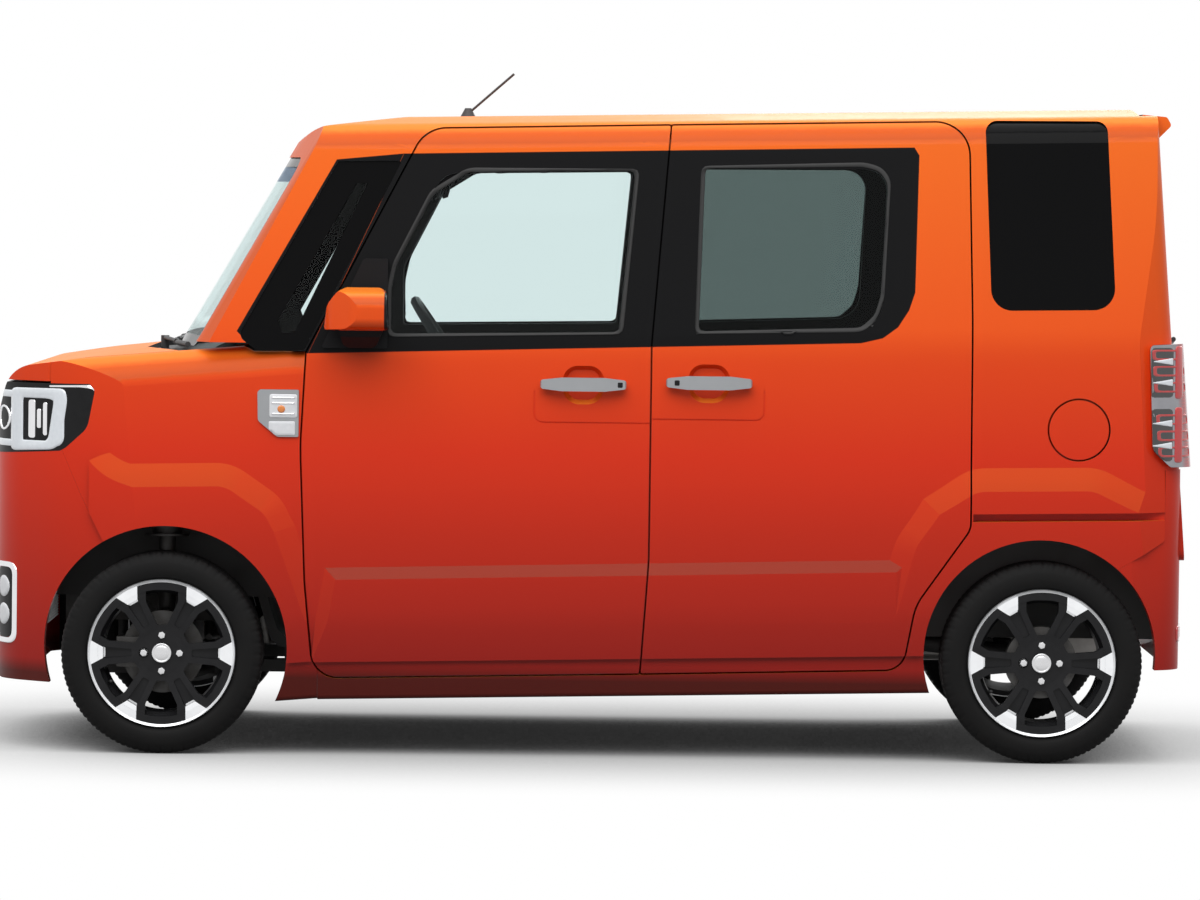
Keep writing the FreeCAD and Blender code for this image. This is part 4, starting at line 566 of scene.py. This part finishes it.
def land(tree, view, point, lift):
    """A flat point (across, height) cast onto the surface from one side, then lifted off it."""
    towards, across = (Vector(axis) for axis in VIEWS[view])
    start = across * point[0] + Vector((0, 0, point[1])) + towards * CAST_FROM
    spot, normal, _, _ = tree.ray_cast(start, -towards)
    if spot is None:
        spot, normal, _, _ = tree.find_nearest(start - towards * CAST_IN)
    if normal.dot(towards) < 0:
        normal = -normal
    return spot + normal * lift


def patch(tree, view, outline, rise, count, radius, hole=None):
    """A raised form that follows a surface: a plate, or a ring when hole is given."""
    outer = even(outline, count, radius)
    middle = sum(outer, Vector((0, 0))) / count
    inner = (even(hole, count, radius * HOLE_CORNERS) if hole
             else [point.lerp(middle, TO_MIDDLE) for point in outer])
    steps = [(0, -SINK)] + [(share, rise * lift) for share, lift in (RING if hole else PLATE)]
    if hole:
        steps.append((1, -SINK))
    rows = [[land(tree, view, a.lerp(b, share), lift) for a, b in zip(outer, inner)]
            for share, lift in steps]
    points, faces = grid(rows)
    if not hole:
        faces.append(tuple((len(rows) - 1) * count + c for c in range(count)))
    return points, faces


def flipped(form):
    points, faces = form
    return ([Vector((point[0], -point[1], point[2])) for point in points],
            [tuple(reversed(face)) for face in faces])


def both(form):
    """The form and its mirror image."""
    return joined([form, flipped(form)])


def fit(name, tree, view, outlines, look, rise, count, radius, hole=None, twin=True,
        body="body"):
    """A piece of one patch or several on the same surface, with a twin across the car."""
    form = joined([patch(tree, view, outline, rise, count, radius, hole) for outline in outlines])
    add(name, both(form) if twin else form, look, body)


def box(a0, b0, a1, b1):
    return [(a0, b0), (a1, b0), (a1, b1), (a0, b1)]


def disc(across, height, radius, tall=None):
    """Round outline, or an oval when tall is given."""
    return [(across + radius * math.cos(k * SIXTEENTH),
             height + (tall or radius) * math.sin(k * SIXTEENTH)) for k in range(16)]


def grown(outline, amount):
    middle = sum((Vector(point) for point in outline), Vector((0, 0))) / len(outline)
    return [Vector(point) + (Vector(point) - middle).normalized() * amount for point in outline]


# ---- tyres and wheels
TYRE_HALF = 0.0825  # half of its width
# (share of the half width, radius) from the bead over the sidewall to the tread
TYRE = [(-0.66, 0.1905), (-0.82, 0.1905), (-0.845, 0.2085), (-0.90, 0.2120), (-0.955, 0.2190),
        (-0.975, 0.2225), (-0.998, 0.2345), (-0.985, 0.2515), (-0.965, 0.2570), (-0.905, 0.2690),
        (-0.85, 0.2765), (-0.74, 0.2808)]
TREAD, GROOVE, INSIDE = 0.2810, 0.2745, 0.1930  # radii
CUT_ZONE = (0.2500, 0.2809)  # radii between which a shoulder is cut
BLOCK_FROM, SHORT_FROM = 0.2600, 0.2740  # radii from which long and short cuts start
BLOCK_CUT, SHORT_CUT = 0.0045, 0.0020  # depths
ROUND = 312  # points round a tyre
NUT = [(0.0, 0.0095), (0.001, 0.0108), (0.016, 0.0108), (0.0185, 0.0098), (0.0192, 0.006)]
WASHER = [(0.0, 0.0125), (0.0035, 0.0125), (0.0045, 0.011)]
CAP = [(0, 0.0272), (0.0016, 0.0274), (0.0026, 0.0262), (0.0026, 0.0228), (0.0018, 0.0222),
       (0.0030, 0.0200), (0.0042, 0.0120), (0.0047, 0.002)]
NUT_CIRCLE, VALVE_CIRCLE, VALVE_ANGLE = 0.05, 0.168, -0.52
NUT_IN, CAP_IN, VALVE_IN = 0.024, 0.0088, 0.030  # how far each starts inside the wheel's face
VALVE = [(0, 0.0045), (0.010, 0.0042), (0.018, 0.0032), (0.019, 0.0040), (0.027, 0.0040),
         (0.028, 0.003)]


def tyre_form(centre):
    profile = list(TYRE)
    for groove in (-0.42, -0.14, 0.14, 0.42):
        profile += [(groove - 0.055, TREAD), (groove - 0.045, GROOVE), (groove + 0.045, GROOVE),
                    (groove + 0.055, TREAD)]
    profile += [(-share, radius) for share, radius in reversed(TYRE)]
    profile += [(0.5, INSIDE), (-0.5, INSIDE)]
    rows = []
    for share, radius in profile:
        along = share * TYRE_HALF
        shoulder = CUT_ZONE[0] < radius < CUT_ZONE[1] and abs(along) > 0.7 * TYRE_HALF
        row = []
        for k in range(ROUND):
            cut = 0.0
            if shoulder and k % 6 == 0 and radius > BLOCK_FROM:
                cut = BLOCK_CUT
            elif shoulder and k % 6 == 3 and radius > SHORT_FROM:
                cut = SHORT_CUT
            angle = 2 * math.pi * k / ROUND
            reach = radius - cut
            row.append(Vector(centre) + Vector((reach * math.cos(angle), along,
                                                reach * math.sin(angle))))
        rows.append(row)
    rows.append(rows[0])
    return grid(rows)


def off_hub(hub_x, y, reach, angle):
    return hub_x + reach * math.cos(angle), y, AXLE_HEIGHT + reach * math.sin(angle)


for corner, (hub_x, hub_y) in HUBS.items():
    out = 1 if hub_y > 0 else -1
    axis = (0, out, 0)
    face = hub_y + out * 0.9 * TYRE_HALF
    body = "wheel_" + corner
    tyre = add("tyre_tread_" + corner, tyre_form((hub_x, hub_y, AXLE_HEIGHT)), "tyre",
               body)
    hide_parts("tyre_" + corner)
    parts = []
    for k in range(4):
        spot = off_hub(hub_x, face - out * NUT_IN, NUT_CIRCLE, k * math.pi / 2)
        parts += [lathe(spot, axis, NUT, 6), lathe(spot, axis, WASHER, 24)]
    add("wheel_nuts_" + corner, joined(parts), "machined", body, False)
    add("wheel_cap_" + corner, lathe((hub_x, face - out * CAP_IN, AXLE_HEIGHT), axis, CAP, 48),
        "machined", body)
    stem = off_hub(hub_x, face - out * VALVE_IN, VALVE_CIRCLE, VALVE_ANGLE)
    add("tyre_valve_" + corner, lathe(stem, (-0.25, out, 0.14), VALVE, 16), "rubber",
        body)

# ---- lamps
lamp_skin = surface("headlights")
fit("headlight_ring_guides", lamp_skin, "side", [[
    (1.614, 1.012), (1.452, 1.014), (1.444, 0.985), (1.462, 0.862), (1.484, 0.842),
    (1.614, 0.834)]], "glow", rise=0.0022, count=112, radius=0.016, hole=[
        (1.576, 0.988), (1.487, 0.990), (1.486, 0.972), (1.500, 0.876), (1.510, 0.864),
        (1.576, 0.860)])
add("headlight_projector_frames", both(joined([
    patch(lamp_skin, "side", outline, rise, count=48, radius=0.005) for rise, outline in (
        (0.0012, box(1.504, 0.880, 1.516, 0.974)), (0.0016, box(1.522, 0.900, 1.534, 0.955)),
        (0.0010, box(1.540, 0.872, 1.560, 0.980)))])), "chrome")
fit("headlight_brow_strips", lamp_skin, "side", [[
    (1.366, 1.014), (1.372, 1.0255), (1.500, 1.0215), (1.500, 1.0165), (1.380, 1.0190)]],
    "chrome", rise=0.0012, count=72, radius=0.002)
fit("headlight_front_rings", lamp_skin, "front", [box(0.402, 0.846, 0.668, 1.004)], "glow",
    rise=0.0018, count=112, radius=0.030, hole=box(0.422, 0.866, 0.652, 0.984))
fit("headlight_projectors", lamp_skin, "front", [disc(0.498, 0.926, 0.036)], "chrome",
    rise=0.004, count=64, radius=0.001, hole=disc(0.498, 0.926, 0.029))

tail_skin = surface("tail_lamps")
CHAMBERS = ((0.848, 0.996), (1.026, 1.166))  # lower and upper half of a tail lamp
fit("tail_lamp_black_panels", tail_skin, "side",
    [box(-1.640, low, -1.574, high) for low, high in CHAMBERS], "black_gloss",
    rise=0.0010, count=64, radius=0.01)
fit("tail_lamp_red_strips", tail_skin, "side",
    [box(-1.668, low - 0.004, -1.646, high + 0.004) for low, high in CHAMBERS], "red_strip",
    rise=0.0022, count=64, radius=0.006)
spikes = [low + (high - low) * share for low, high in CHAMBERS for share in (0.30, 0.72)]
fit("tail_lamp_light_guides", tail_skin, "side",
    [[(-1.638, z - 0.010), (-1.580, z - 0.001), (-1.580, z + 0.001), (-1.638, z + 0.010)]
     for z in spikes], "glow", rise=0.0034, count=40, radius=0.001)
add("tail_lamp_rear_ribs", both(joined([
    patch(tail_skin, "rear", box(0.650, z, 0.722, z + 0.030), rise=0.0018, count=48,
          radius=0.006, hole=box(0.656, z + 0.006, 0.716, z + 0.024))
    for z in (0.860, 0.905, 0.950, 1.040, 1.085, 1.130)])), "red_lens")

trim_skin = surface("side_garnishes")
fit("side_garnish_lenses", trim_skin, "side", [box(0.8005, 0.9415, 0.8785, 1.0075)],
    "white_lamp", rise=0.0016, count=64, radius=0.006)
fit("side_garnish_bulbs", trim_skin, "side", [disc(0.845, 0.966, 0.011)], "amber",
    rise=0.0036, count=40, radius=0.001)
fit("side_garnish_fins", trim_skin, "side",
    [box(0.806, z, 0.873, z + 0.0035) for z in (0.951, 0.981, 0.996)], "chrome",
    rise=0.0034, count=48, radius=0.001)
fit("side_garnish_reflectors", trim_skin, "side", [[
    (0.806, 0.893), (0.868, 0.893), (0.880, 0.905), (0.880, 0.932), (0.806, 0.932)]],
    "white_lamp", rise=0.0014, count=56, radius=0.003)

nose_skin = surface("front_bumper")
fit("fog_lamp_rings", nose_skin, "front", [box(0.448, 0.290, 0.560, 0.520)], "chrome",
    rise=0.004, count=96, radius=0.03, hole=box(0.463, 0.306, 0.545, 0.504))
fit("fog_lamp_housings", nose_skin, "front", [box(0.462, 0.305, 0.546, 0.505)], "satin_black",
    rise=0.0014, count=72, radius=0.026)
fit("fog_lamp_lenses", nose_skin, "front", [disc(0.504, z, 0.031) for z in (0.372, 0.450)],
    "white_lamp", rise=0.0034, count=48, radius=0.001)
fit("grille_bars", surface("grille"), "front",
    [box(-0.300, z, 0.300, z + 0.012) for z in (0.862, 0.905, 0.948, 0.991)], "chrome",
    rise=0.0030, count=96, radius=0.004, twin=False)

FIN_PITCH, FIN_SWING, CORE_DEPTH = 0.004, 0.0018, 0.012


def finned_core(low, high, half, depth):
    """Pleated sheet of a radiator, as wide as its opening."""
    count = int((high - low) / FIN_PITCH)
    rows = [[Vector((depth + (FIN_SWING if k % 2 else -FIN_SWING), y,
                     low + (high - low) * k / count))
             for y in (-half, -half * 0.5, 0, half * 0.5, half)] for k in range(count + 1)]
    front = grid(rows, closed=False)
    back = ([point - Vector((CORE_DEPTH, 0, 0)) for point in front[0]],
            [tuple(reversed(face)) for face in front[1]])
    return joined([front, back])


grille_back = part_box("grille")[0][0] - 0.008
add("radiator_cores", joined([finned_core(0.835, 1.015, 0.318, grille_back),
                              finned_core(0.305, 0.495, 0.424, grille_back)]),
    "satin_black", smooth=False)

# ---- trim on the doors and body
RUBBER_OUT, RUBBER_IN = 0.012, -0.002  # how far a window's rubber reaches from its clear part
handle_skin = surface("front_door_handle_left")
door_parts = (
    ("front_window_rubber_", patch(
        surface("front_door_glass_left", "front_door_left"), "side",
        grown(FRONT_CLEAR, RUBBER_OUT), rise=0.0030, count=160, radius=0.02,
        hole=grown(FRONT_CLEAR, RUBBER_IN)), "rubber", "black_trim"),
    ("mirror_glass_", patch(
        surface("door_mirror_left"), "rear", box(HALF + 0.021, 1.206, HALF + 0.159, 1.292),
        rise=0.0012, count=72, radius=0.016), "mirror_glass", "chrome"),
    ("front_handle_button_", patch(
        handle_skin, "side", box(-0.104, 1.037, -0.090, 1.052), rise=0.0010, count=40,
        radius=0.003), "satin_black", "black_trim"))
for side in ("left", "right"):
    for start, form, look, slot in door_parts:
        add(start + side, flipped(form) if side == "right" else form, look,
            "front_door_" + side)
add("door_lock_barrel", flipped(patch(handle_skin, "side", disc(-0.070, 1.0448, 0.007),
                                      rise=0.0014, count=40, radius=0.0005)),
    "steel", "front_door_right")

fit("rear_window_rubbers", surface("side_windows", "sliding_doors"), "side",
    [grown(REAR_CLEAR, RUBBER_OUT)], "rubber", rise=0.0025, count=160, radius=0.02,
    hole=grown(REAR_CLEAR, RUBBER_IN))
fit("sliding_handle_buttons", surface("sliding_door_handles"), "side",
    [box(-0.262, 1.045, -0.248, 1.060)], "satin_black", rise=0.0010, count=40,
    radius=0.003)

gate_skin = surface("tailgate")
fit("tailgate_garnish", gate_skin, "rear", [box(-0.300, 0.862, 0.300, 0.912)], "chrome",
    rise=0.0090, count=120, radius=0.018, twin=False, body="tailgate")
fit("high_brake_lamp", gate_skin, "rear", [box(-0.130, 1.742, 0.130, 1.764)], "red_lens",
    rise=0.0040, count=96, radius=0.008, twin=False, body="tailgate")
rear_skin = surface("rear_bumper")
add("rear_reflectors", both(joined([
    patch(rear_skin, "rear", box(0.500, 0.345, 0.640, 0.378), rise=0.0030, count=72,
          radius=0.010),
    patch(rear_skin, "rear", box(0.494, 0.339, 0.646, 0.384), rise=0.0036, count=96,
          radius=0.012, hole=box(0.501, 0.346, 0.639, 0.377))])), "red_lens")


# ---- seats
SEAM_HALF, SEAM_DEPTH = 0.022, 0.009
# a bolster swells between these distances from the seat's middle
BOLSTER_START, BOLSTER_END, BOLSTER_WIDTH, BOLSTER_RISE = 0.12, 0.215, 0.095, 0.010
PRESSURE_FRAMES = 20
CORD_INSET, CORD_RADIUS, CORD_POINTS = 0.016, 0.0032, 64


def prism(outline, low, high):
    rows = [[Vector((point[0], y, point[1])) for point in outline] for y in (low, high)]
    return grid(rows, cap=True)


def clean(mesh):
    work = bmesh.new()
    work.from_mesh(mesh)
    bmesh.ops.recalc_face_normals(work, faces=work.faces)
    work.to_mesh(mesh)
    work.free()


def bake(thing, kind, **values):
    changed = thing.modifiers.new(kind.lower(), kind)
    for key, value in values.items():
        setattr(changed, key, value)
    graph = bpy.context.evaluated_depsgraph_get()
    fresh = bpy.data.meshes.new_from_object(thing.evaluated_get(graph), depsgraph=graph)
    thing.modifiers.clear()
    thing.data = fresh


def cushion(name, outline, low, high, voxel, cap, channels=(), bolster=None, fill=0.6):
    """A padded form blown up as cloth by at most cap, then sewn along its channels.

    channels holds (axis, place) of each seam; bolster holds its middle and the axis it rises in.
    """
    pad = add(name, prism(outline, low, high), "fabric")
    clean(pad.data)
    bake(pad, "REMESH", mode="VOXEL", voxel_size=voxel)
    start = [vertex.co.copy() for vertex in pad.data.vertices]
    cloth = pad.modifiers.new("pressure", "CLOTH")
    cloth.settings.use_pressure = True
    cloth.settings.uniform_pressure_force = 4
    cloth.settings.effector_weights.gravity = 0
    cloth.settings.quality = 4
    cloth.settings.mass = 0.3
    cloth.point_cache.frame_start, cloth.point_cache.frame_end = 1, PRESSURE_FRAMES
    for frame_number in range(1, PRESSURE_FRAMES + 1):
        scene.frame_set(frame_number)
    graph = bpy.context.evaluated_depsgraph_get()
    ended = [vertex.co.copy() for vertex in pad.evaluated_get(graph).data.vertices]
    pad.modifiers.clear()
    scene.frame_set(1)
    for vertex, old, new in zip(pad.data.vertices, start, ended):
        move = new - old
        if move.length > cap:
            move *= cap / move.length
        vertex.co = old + move
    bake(pad, "SUBSURF", levels=1, render_levels=1)
    mesh = pad.data
    normals = [vertex.normal.copy() for vertex in mesh.vertices]
    for vertex, normal in zip(mesh.vertices, normals):
        depth = 0.0
        for axis, value in channels:
            away = abs(vertex.co[axis] - value) / SEAM_HALF
            if away < 1:
                depth = max(depth, (1 - away) ** 1.5 * SEAM_DEPTH)
        if bolster:
            middle, axis = bolster
            away = abs(vertex.co.y - middle)
            if BOLSTER_START < away < BOLSTER_END:
                swell = math.sin((away - BOLSTER_START) / BOLSTER_WIDTH * math.pi)
                depth -= swell * BOLSTER_RISE * max(normal[axis], 0)
        vertex.co -= normal * depth
    for face in mesh.polygons:
        face.use_smooth = True
    mesh.materials.clear()
    mesh.materials.append(M["fabric"])
    return pad


def piping(name, thing, middle):
    """Sewn cord round a cushion, just inside each of its sides."""
    mesh = thing.data
    tree = BVHTree.FromPolygons([vertex.co.copy() for vertex in mesh.vertices],
                                [tuple(face.vertices) for face in mesh.polygons])
    across = [vertex.co.y for vertex in mesh.vertices]
    parts = []
    for y in (min(across) + CORD_INSET, max(across) - CORD_INSET):
        path = []
        for k in range(CORD_POINTS):
            angle = 2 * math.pi * k / CORD_POINTS
            away = Vector((math.cos(angle), 0, math.sin(angle)))
            spot = Vector((middle[0], y, middle[1]))
            hit = tree.ray_cast(spot + away * 1.5, -away)[0]
            if hit:
                path.append(hit)
        parts.append(tube(path, CORD_RADIUS, 8, closed=True))
    return add(name, joined(parts), "piping")


def mirrored_copy(thing, name):
    points = [Vector((v.co.x, -v.co.y, v.co.z)) for v in thing.data.vertices]
    faces = [tuple(reversed(face.vertices)) for face in thing.data.polygons]
    look = next(key for key, value in M.items() if value == thing.data.materials[0])
    return add(name, (points, faces), look)


SEAT_Y = 0.33  # middle of a front seat
FRONT_SIDES, REST_SIDES, BENCH_SIDES = (0.105, 0.555), (0.225, 0.435), (-0.515, 0.515)
front_seams = [(1, SEAT_Y - 0.125), (1, SEAT_Y + 0.125)]
bench_seams = [(1, 0.0), (1, -0.26), (1, 0.26)]
seat = cushion("front_seat_base_left", [
    (0.455, 0.540), (0.455, 0.622), (0.062, 0.596), (0.050, 0.540)], *FRONT_SIDES, voxel=0.009,
    cap=0.022, channels=front_seams + [(0, 0.20)], bolster=(SEAT_Y, 2))
back = cushion("front_seat_back_left", [
    (0.018, 0.570), (0.026, 0.632), (-0.108, 1.172), (-0.202, 1.172), (-0.075, 0.570)],
    *FRONT_SIDES, voxel=0.009, cap=0.022, channels=front_seams + [(2, 0.80), (2, 1.00)],
    bolster=(SEAT_Y, 0))
rest = cushion("front_head_rest_left", [
    (-0.150, 1.235), (-0.155, 1.375), (-0.225, 1.375), (-0.220, 1.235)], *REST_SIDES,
    voxel=0.006, cap=0.016, fill=0.8)
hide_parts("front_seats")
cords = piping("front_seat_piping_left", seat, (0.25, 0.585))
back_cords = piping("front_back_piping_left", back, (-0.075, 0.87))
for thing in (seat, back, rest, cords, back_cords):
    copy = mirrored_copy(thing, thing.name.replace("_left", "_right"))

bench = cushion("rear_bench_base", [
    (-0.485, 0.552), (-0.485, 0.628), (-0.800, 0.604), (-0.812, 0.552)], *BENCH_SIDES,
    voxel=0.012, cap=0.022, channels=bench_seams + [(0, -0.64)])
cushion("rear_bench_back", [
    (-0.858, 0.575), (-0.864, 0.640), (-0.962, 1.145), (-1.050, 1.145), (-0.958, 0.575)],
    *BENCH_SIDES, voxel=0.012, cap=0.020, channels=bench_seams + [(2, 0.84), (2, 1.0)])
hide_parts("rear_seat")
piping("rear_bench_piping", bench, (-0.65, 0.588))
SEAT_RAIL = [(-0.060, 0.302), (-0.060, 0.322), (0.030, 0.345), (0.010, 0.520), (0.060, 0.520),
             (0.080, 0.360), (0.300, 0.360), (0.330, 0.520), (0.380, 0.520), (0.360, 0.345),
             (0.418, 0.322), (0.418, 0.302)]
BENCH_FOOT = [(-0.895, 0.432), (-0.895, 0.470), (-0.870, 0.532), (-0.690, 0.532),
              (-0.665, 0.470), (-0.665, 0.432)]
RAIL_HALF = 0.016
parts = []
for rail_y in (0.15, 0.51):
    parts.append(prism(SEAT_RAIL, rail_y - RAIL_HALF, rail_y + RAIL_HALF))
    rod_y = SEAT_Y + (rail_y - SEAT_Y) / 3
    parts.append(tube([(-0.190, rod_y, 1.130), (-0.188, rod_y, 1.300)], 0.0065, 16))
add("front_seat_frames", both(joined(parts)), "chassis", smooth=False)
add("rear_bench_frame", joined(
    [prism(BENCH_FOOT, low, high) for low, high in ((-0.49, -0.40), (-0.05, 0.05), (0.40, 0.49))]
    + [tube([(-0.70, -0.48, 0.50), (-0.70, 0.48, 0.50)], 0.014, 16)]), "chassis",
    smooth=False)

# ---- cabin
dash_skin = surface("dashboard")
VENTS = (-0.53, -0.155, 0.155, 0.53)
add("dash_vents", joined(
    [patch(dash_skin, "rear", box(y - 0.05, 0.905, y + 0.05, 0.965), rise=0.004, count=72,
           radius=0.010, hole=box(y - 0.042, 0.912, y + 0.042, 0.958)) for y in VENTS]
    + [patch(dash_skin, "rear", box(y - 0.040, z, y + 0.040, z + 0.003), rise=0.0022, count=40,
             radius=0.001) for y in VENTS for z in (0.921, 0.933, 0.945)]),
    "satin_black")
fit("dash_display", dash_skin, "rear", [box(-0.092, 0.885, 0.092, 0.985)], "screen_off",
    rise=0.005, count=96, radius=0.008, twin=False)
fit("dash_dials", dash_skin, "rear", [disc(y, 0.815, 0.024) for y in (-0.075, 0.0, 0.075)],
    "silver", rise=0.014, count=48, radius=0.001, twin=False)
fit("dash_instruments", dash_skin, "rear", [box(-0.455, 0.925, -0.215, 1.000)], "screen_off",
    rise=0.004, count=96, radius=0.030, twin=False)
fit("glove_box_seam", dash_skin, "rear", [box(0.215, 0.770, 0.480, 0.885)], "satin_black",
    rise=0.0012, count=96, radius=0.012, hole=box(0.219, 0.774, 0.476, 0.881),
    twin=False)
fit("steering_pad", surface("steering_wheel"), "rear", [disc(-0.335, 1.095, 0.052, 0.045)],
    "interior", rise=0.005, count=64, radius=0.002, twin=False, body="steering_wheel")
# (x, share of the full size) of the cabin mirror's slices
MIRROR = ((0.500, 0.72), (0.502, 0.90), (0.508, 0.985), (0.518, 1.0), (0.528, 0.90), (0.533, 0.66))
mirror_rows = [[Vector((depth, 0.115 * share * point.x, 1.585 + 0.030 * share * point.y))
                for point in even([(-1, -0.9), (1, -0.9), (0.96, 1), (-0.96, 1)], 72, 0.5)]
               for depth, share in MIRROR]
mirror_stem = tube([(0.530, 0, 1.590), (0.545, 0, 1.612), (0.548, 0, 1.640)], 0.007, 16)
add("cabin_mirror", joined([grid(mirror_rows, cap=True), mirror_stem]), "satin_black")
add("cabin_hooks", both(tube([
    (0.424, 0.600, 1.640), (0.420, 0.598, 1.612), (0.4175, 0.596, 1.580), (0.422, 0.592, 1.562),
    (0.432, 0.590, 1.560)], 0.008, 16)), "satin_black")


# ---- stage, light and camera
def seen_directly(tree):
    """1 for what the eye sees, also in metal and through glass, and 0 for the light itself."""
    path = node(tree, "LightPath")
    return either(tree, [path.outputs[kind] for kind in
                         ("Is Camera Ray", "Is Glossy Ray", "Is Transmission Ray")])


WHITE = (1, 1, 1, 1)
world = bpy.data.worlds.new("studio")
scene.world = world
world.use_nodes = True
sky = world.node_tree
sky.nodes.clear()
rise = split(sky, node(sky, "TexCoord").outputs["Generated"])[2]
dome = node(sky, "MapRange", {0: rise, 1: 0.0, 2: 0.75, 3: 0.10, 4: 0.95},
            interpolation_type="SMOOTHSTEP").outputs[0]
ambient = node(sky, "Background", {"Color": WHITE, "Strength": dome})
white = node(sky, "Background", {"Color": WHITE, "Strength": 1.0})
mixed = node(sky, "MixShader", {0: seen_directly(sky), 1: ambient.outputs[0], 2: white.outputs[0]})
node(sky, "OutputWorld", {"Surface": mixed.outputs[0]})

FLOOR_REACH, SHADOW_REACH = 60, 1.1
floor_mesh = bpy.data.meshes.new("floor")
floor_mesh.from_pydata([(x, y, 0) for x, y in box(-FLOOR_REACH, -FLOOR_REACH, FLOOR_REACH,
                                                  FLOOR_REACH)], [], [(0, 1, 2, 3)])
floor = bpy.data.objects.new("floor", floor_mesh)
scene.collection.objects.link(floor)
floor_look, ground, floor_shader = material("pale_floor", (0.12, 0.12, 0.125), 0.8)
feed(ground, floor_shader, Roughness=between(ground, noise(ground, 3, 3.0), 0.75, 0.85))
# painted shadow: to the eye, in metal and through glass the floor glows white, darkened under and
# round the car by ambient occlusion rather than by the lamps; bouncing light sees a dark grey
# floor
shade = node(ground, "AmbientOcclusion", {"Distance": SHADOW_REACH}, samples=16).outputs["AO"]
shade = ramp(ground, shade, 0.10, 0.97, 0.02, 1.0)
white_floor_with_painted_shadow = node(ground, "Emission", {"Color": WHITE, "Strength": shade})
floor_mix = node(ground, "MixShader", {0: seen_directly(ground), 1: floor_shader.outputs[0],
                                       2: white_floor_with_painted_shadow.outputs[0]})
feed(ground, ground.nodes["Material Output"], Surface=floor_mix.outputs[0])
floor_mesh.materials.append(floor_look)


def lamp(name, where, target, width, height, power):
    data = bpy.data.lights.new(name, "AREA")
    data.shape = "RECTANGLE"
    data.size = width
    data.size_y = height
    data.energy = power
    made = bpy.data.objects.new(name, data)
    made.location = where
    made.rotation_euler = (Vector(target) - Vector(where)).to_track_quat("-Z", "Y").to_euler()
    scene.collection.objects.link(made)


lamp("key", (1.2, 6.5, 7.0), (0, 0, 0.9), 10, 6, 520)
lamp("top", (0, 0.3, 6.5), (0, 0, 0), 9, 5, 250)
lamp("back", (-3.0, -7.0, 5.0), (0, 0, 0.9), 6, 4, 260)

camera_data = bpy.data.cameras.new("camera")
camera_data.lens = 183.5
camera_data.sensor_width = 36
camera_data.clip_end = 200
camera = bpy.data.objects.new("camera", camera_data)
scene.collection.objects.link(camera)
eye = Vector((0.027, HALF + 17.0, 1.6))
aim = Vector((-0.043, HALF, 0.863))
roll = Quaternion((0, 0, 1), math.radians(0.7))
camera.location = eye
camera.rotation_euler = ((aim - eye).to_track_quat("-Z", "Y") @ roll).to_euler()
scene.camera = camera
scene.view_settings.view_transform = "Standard"
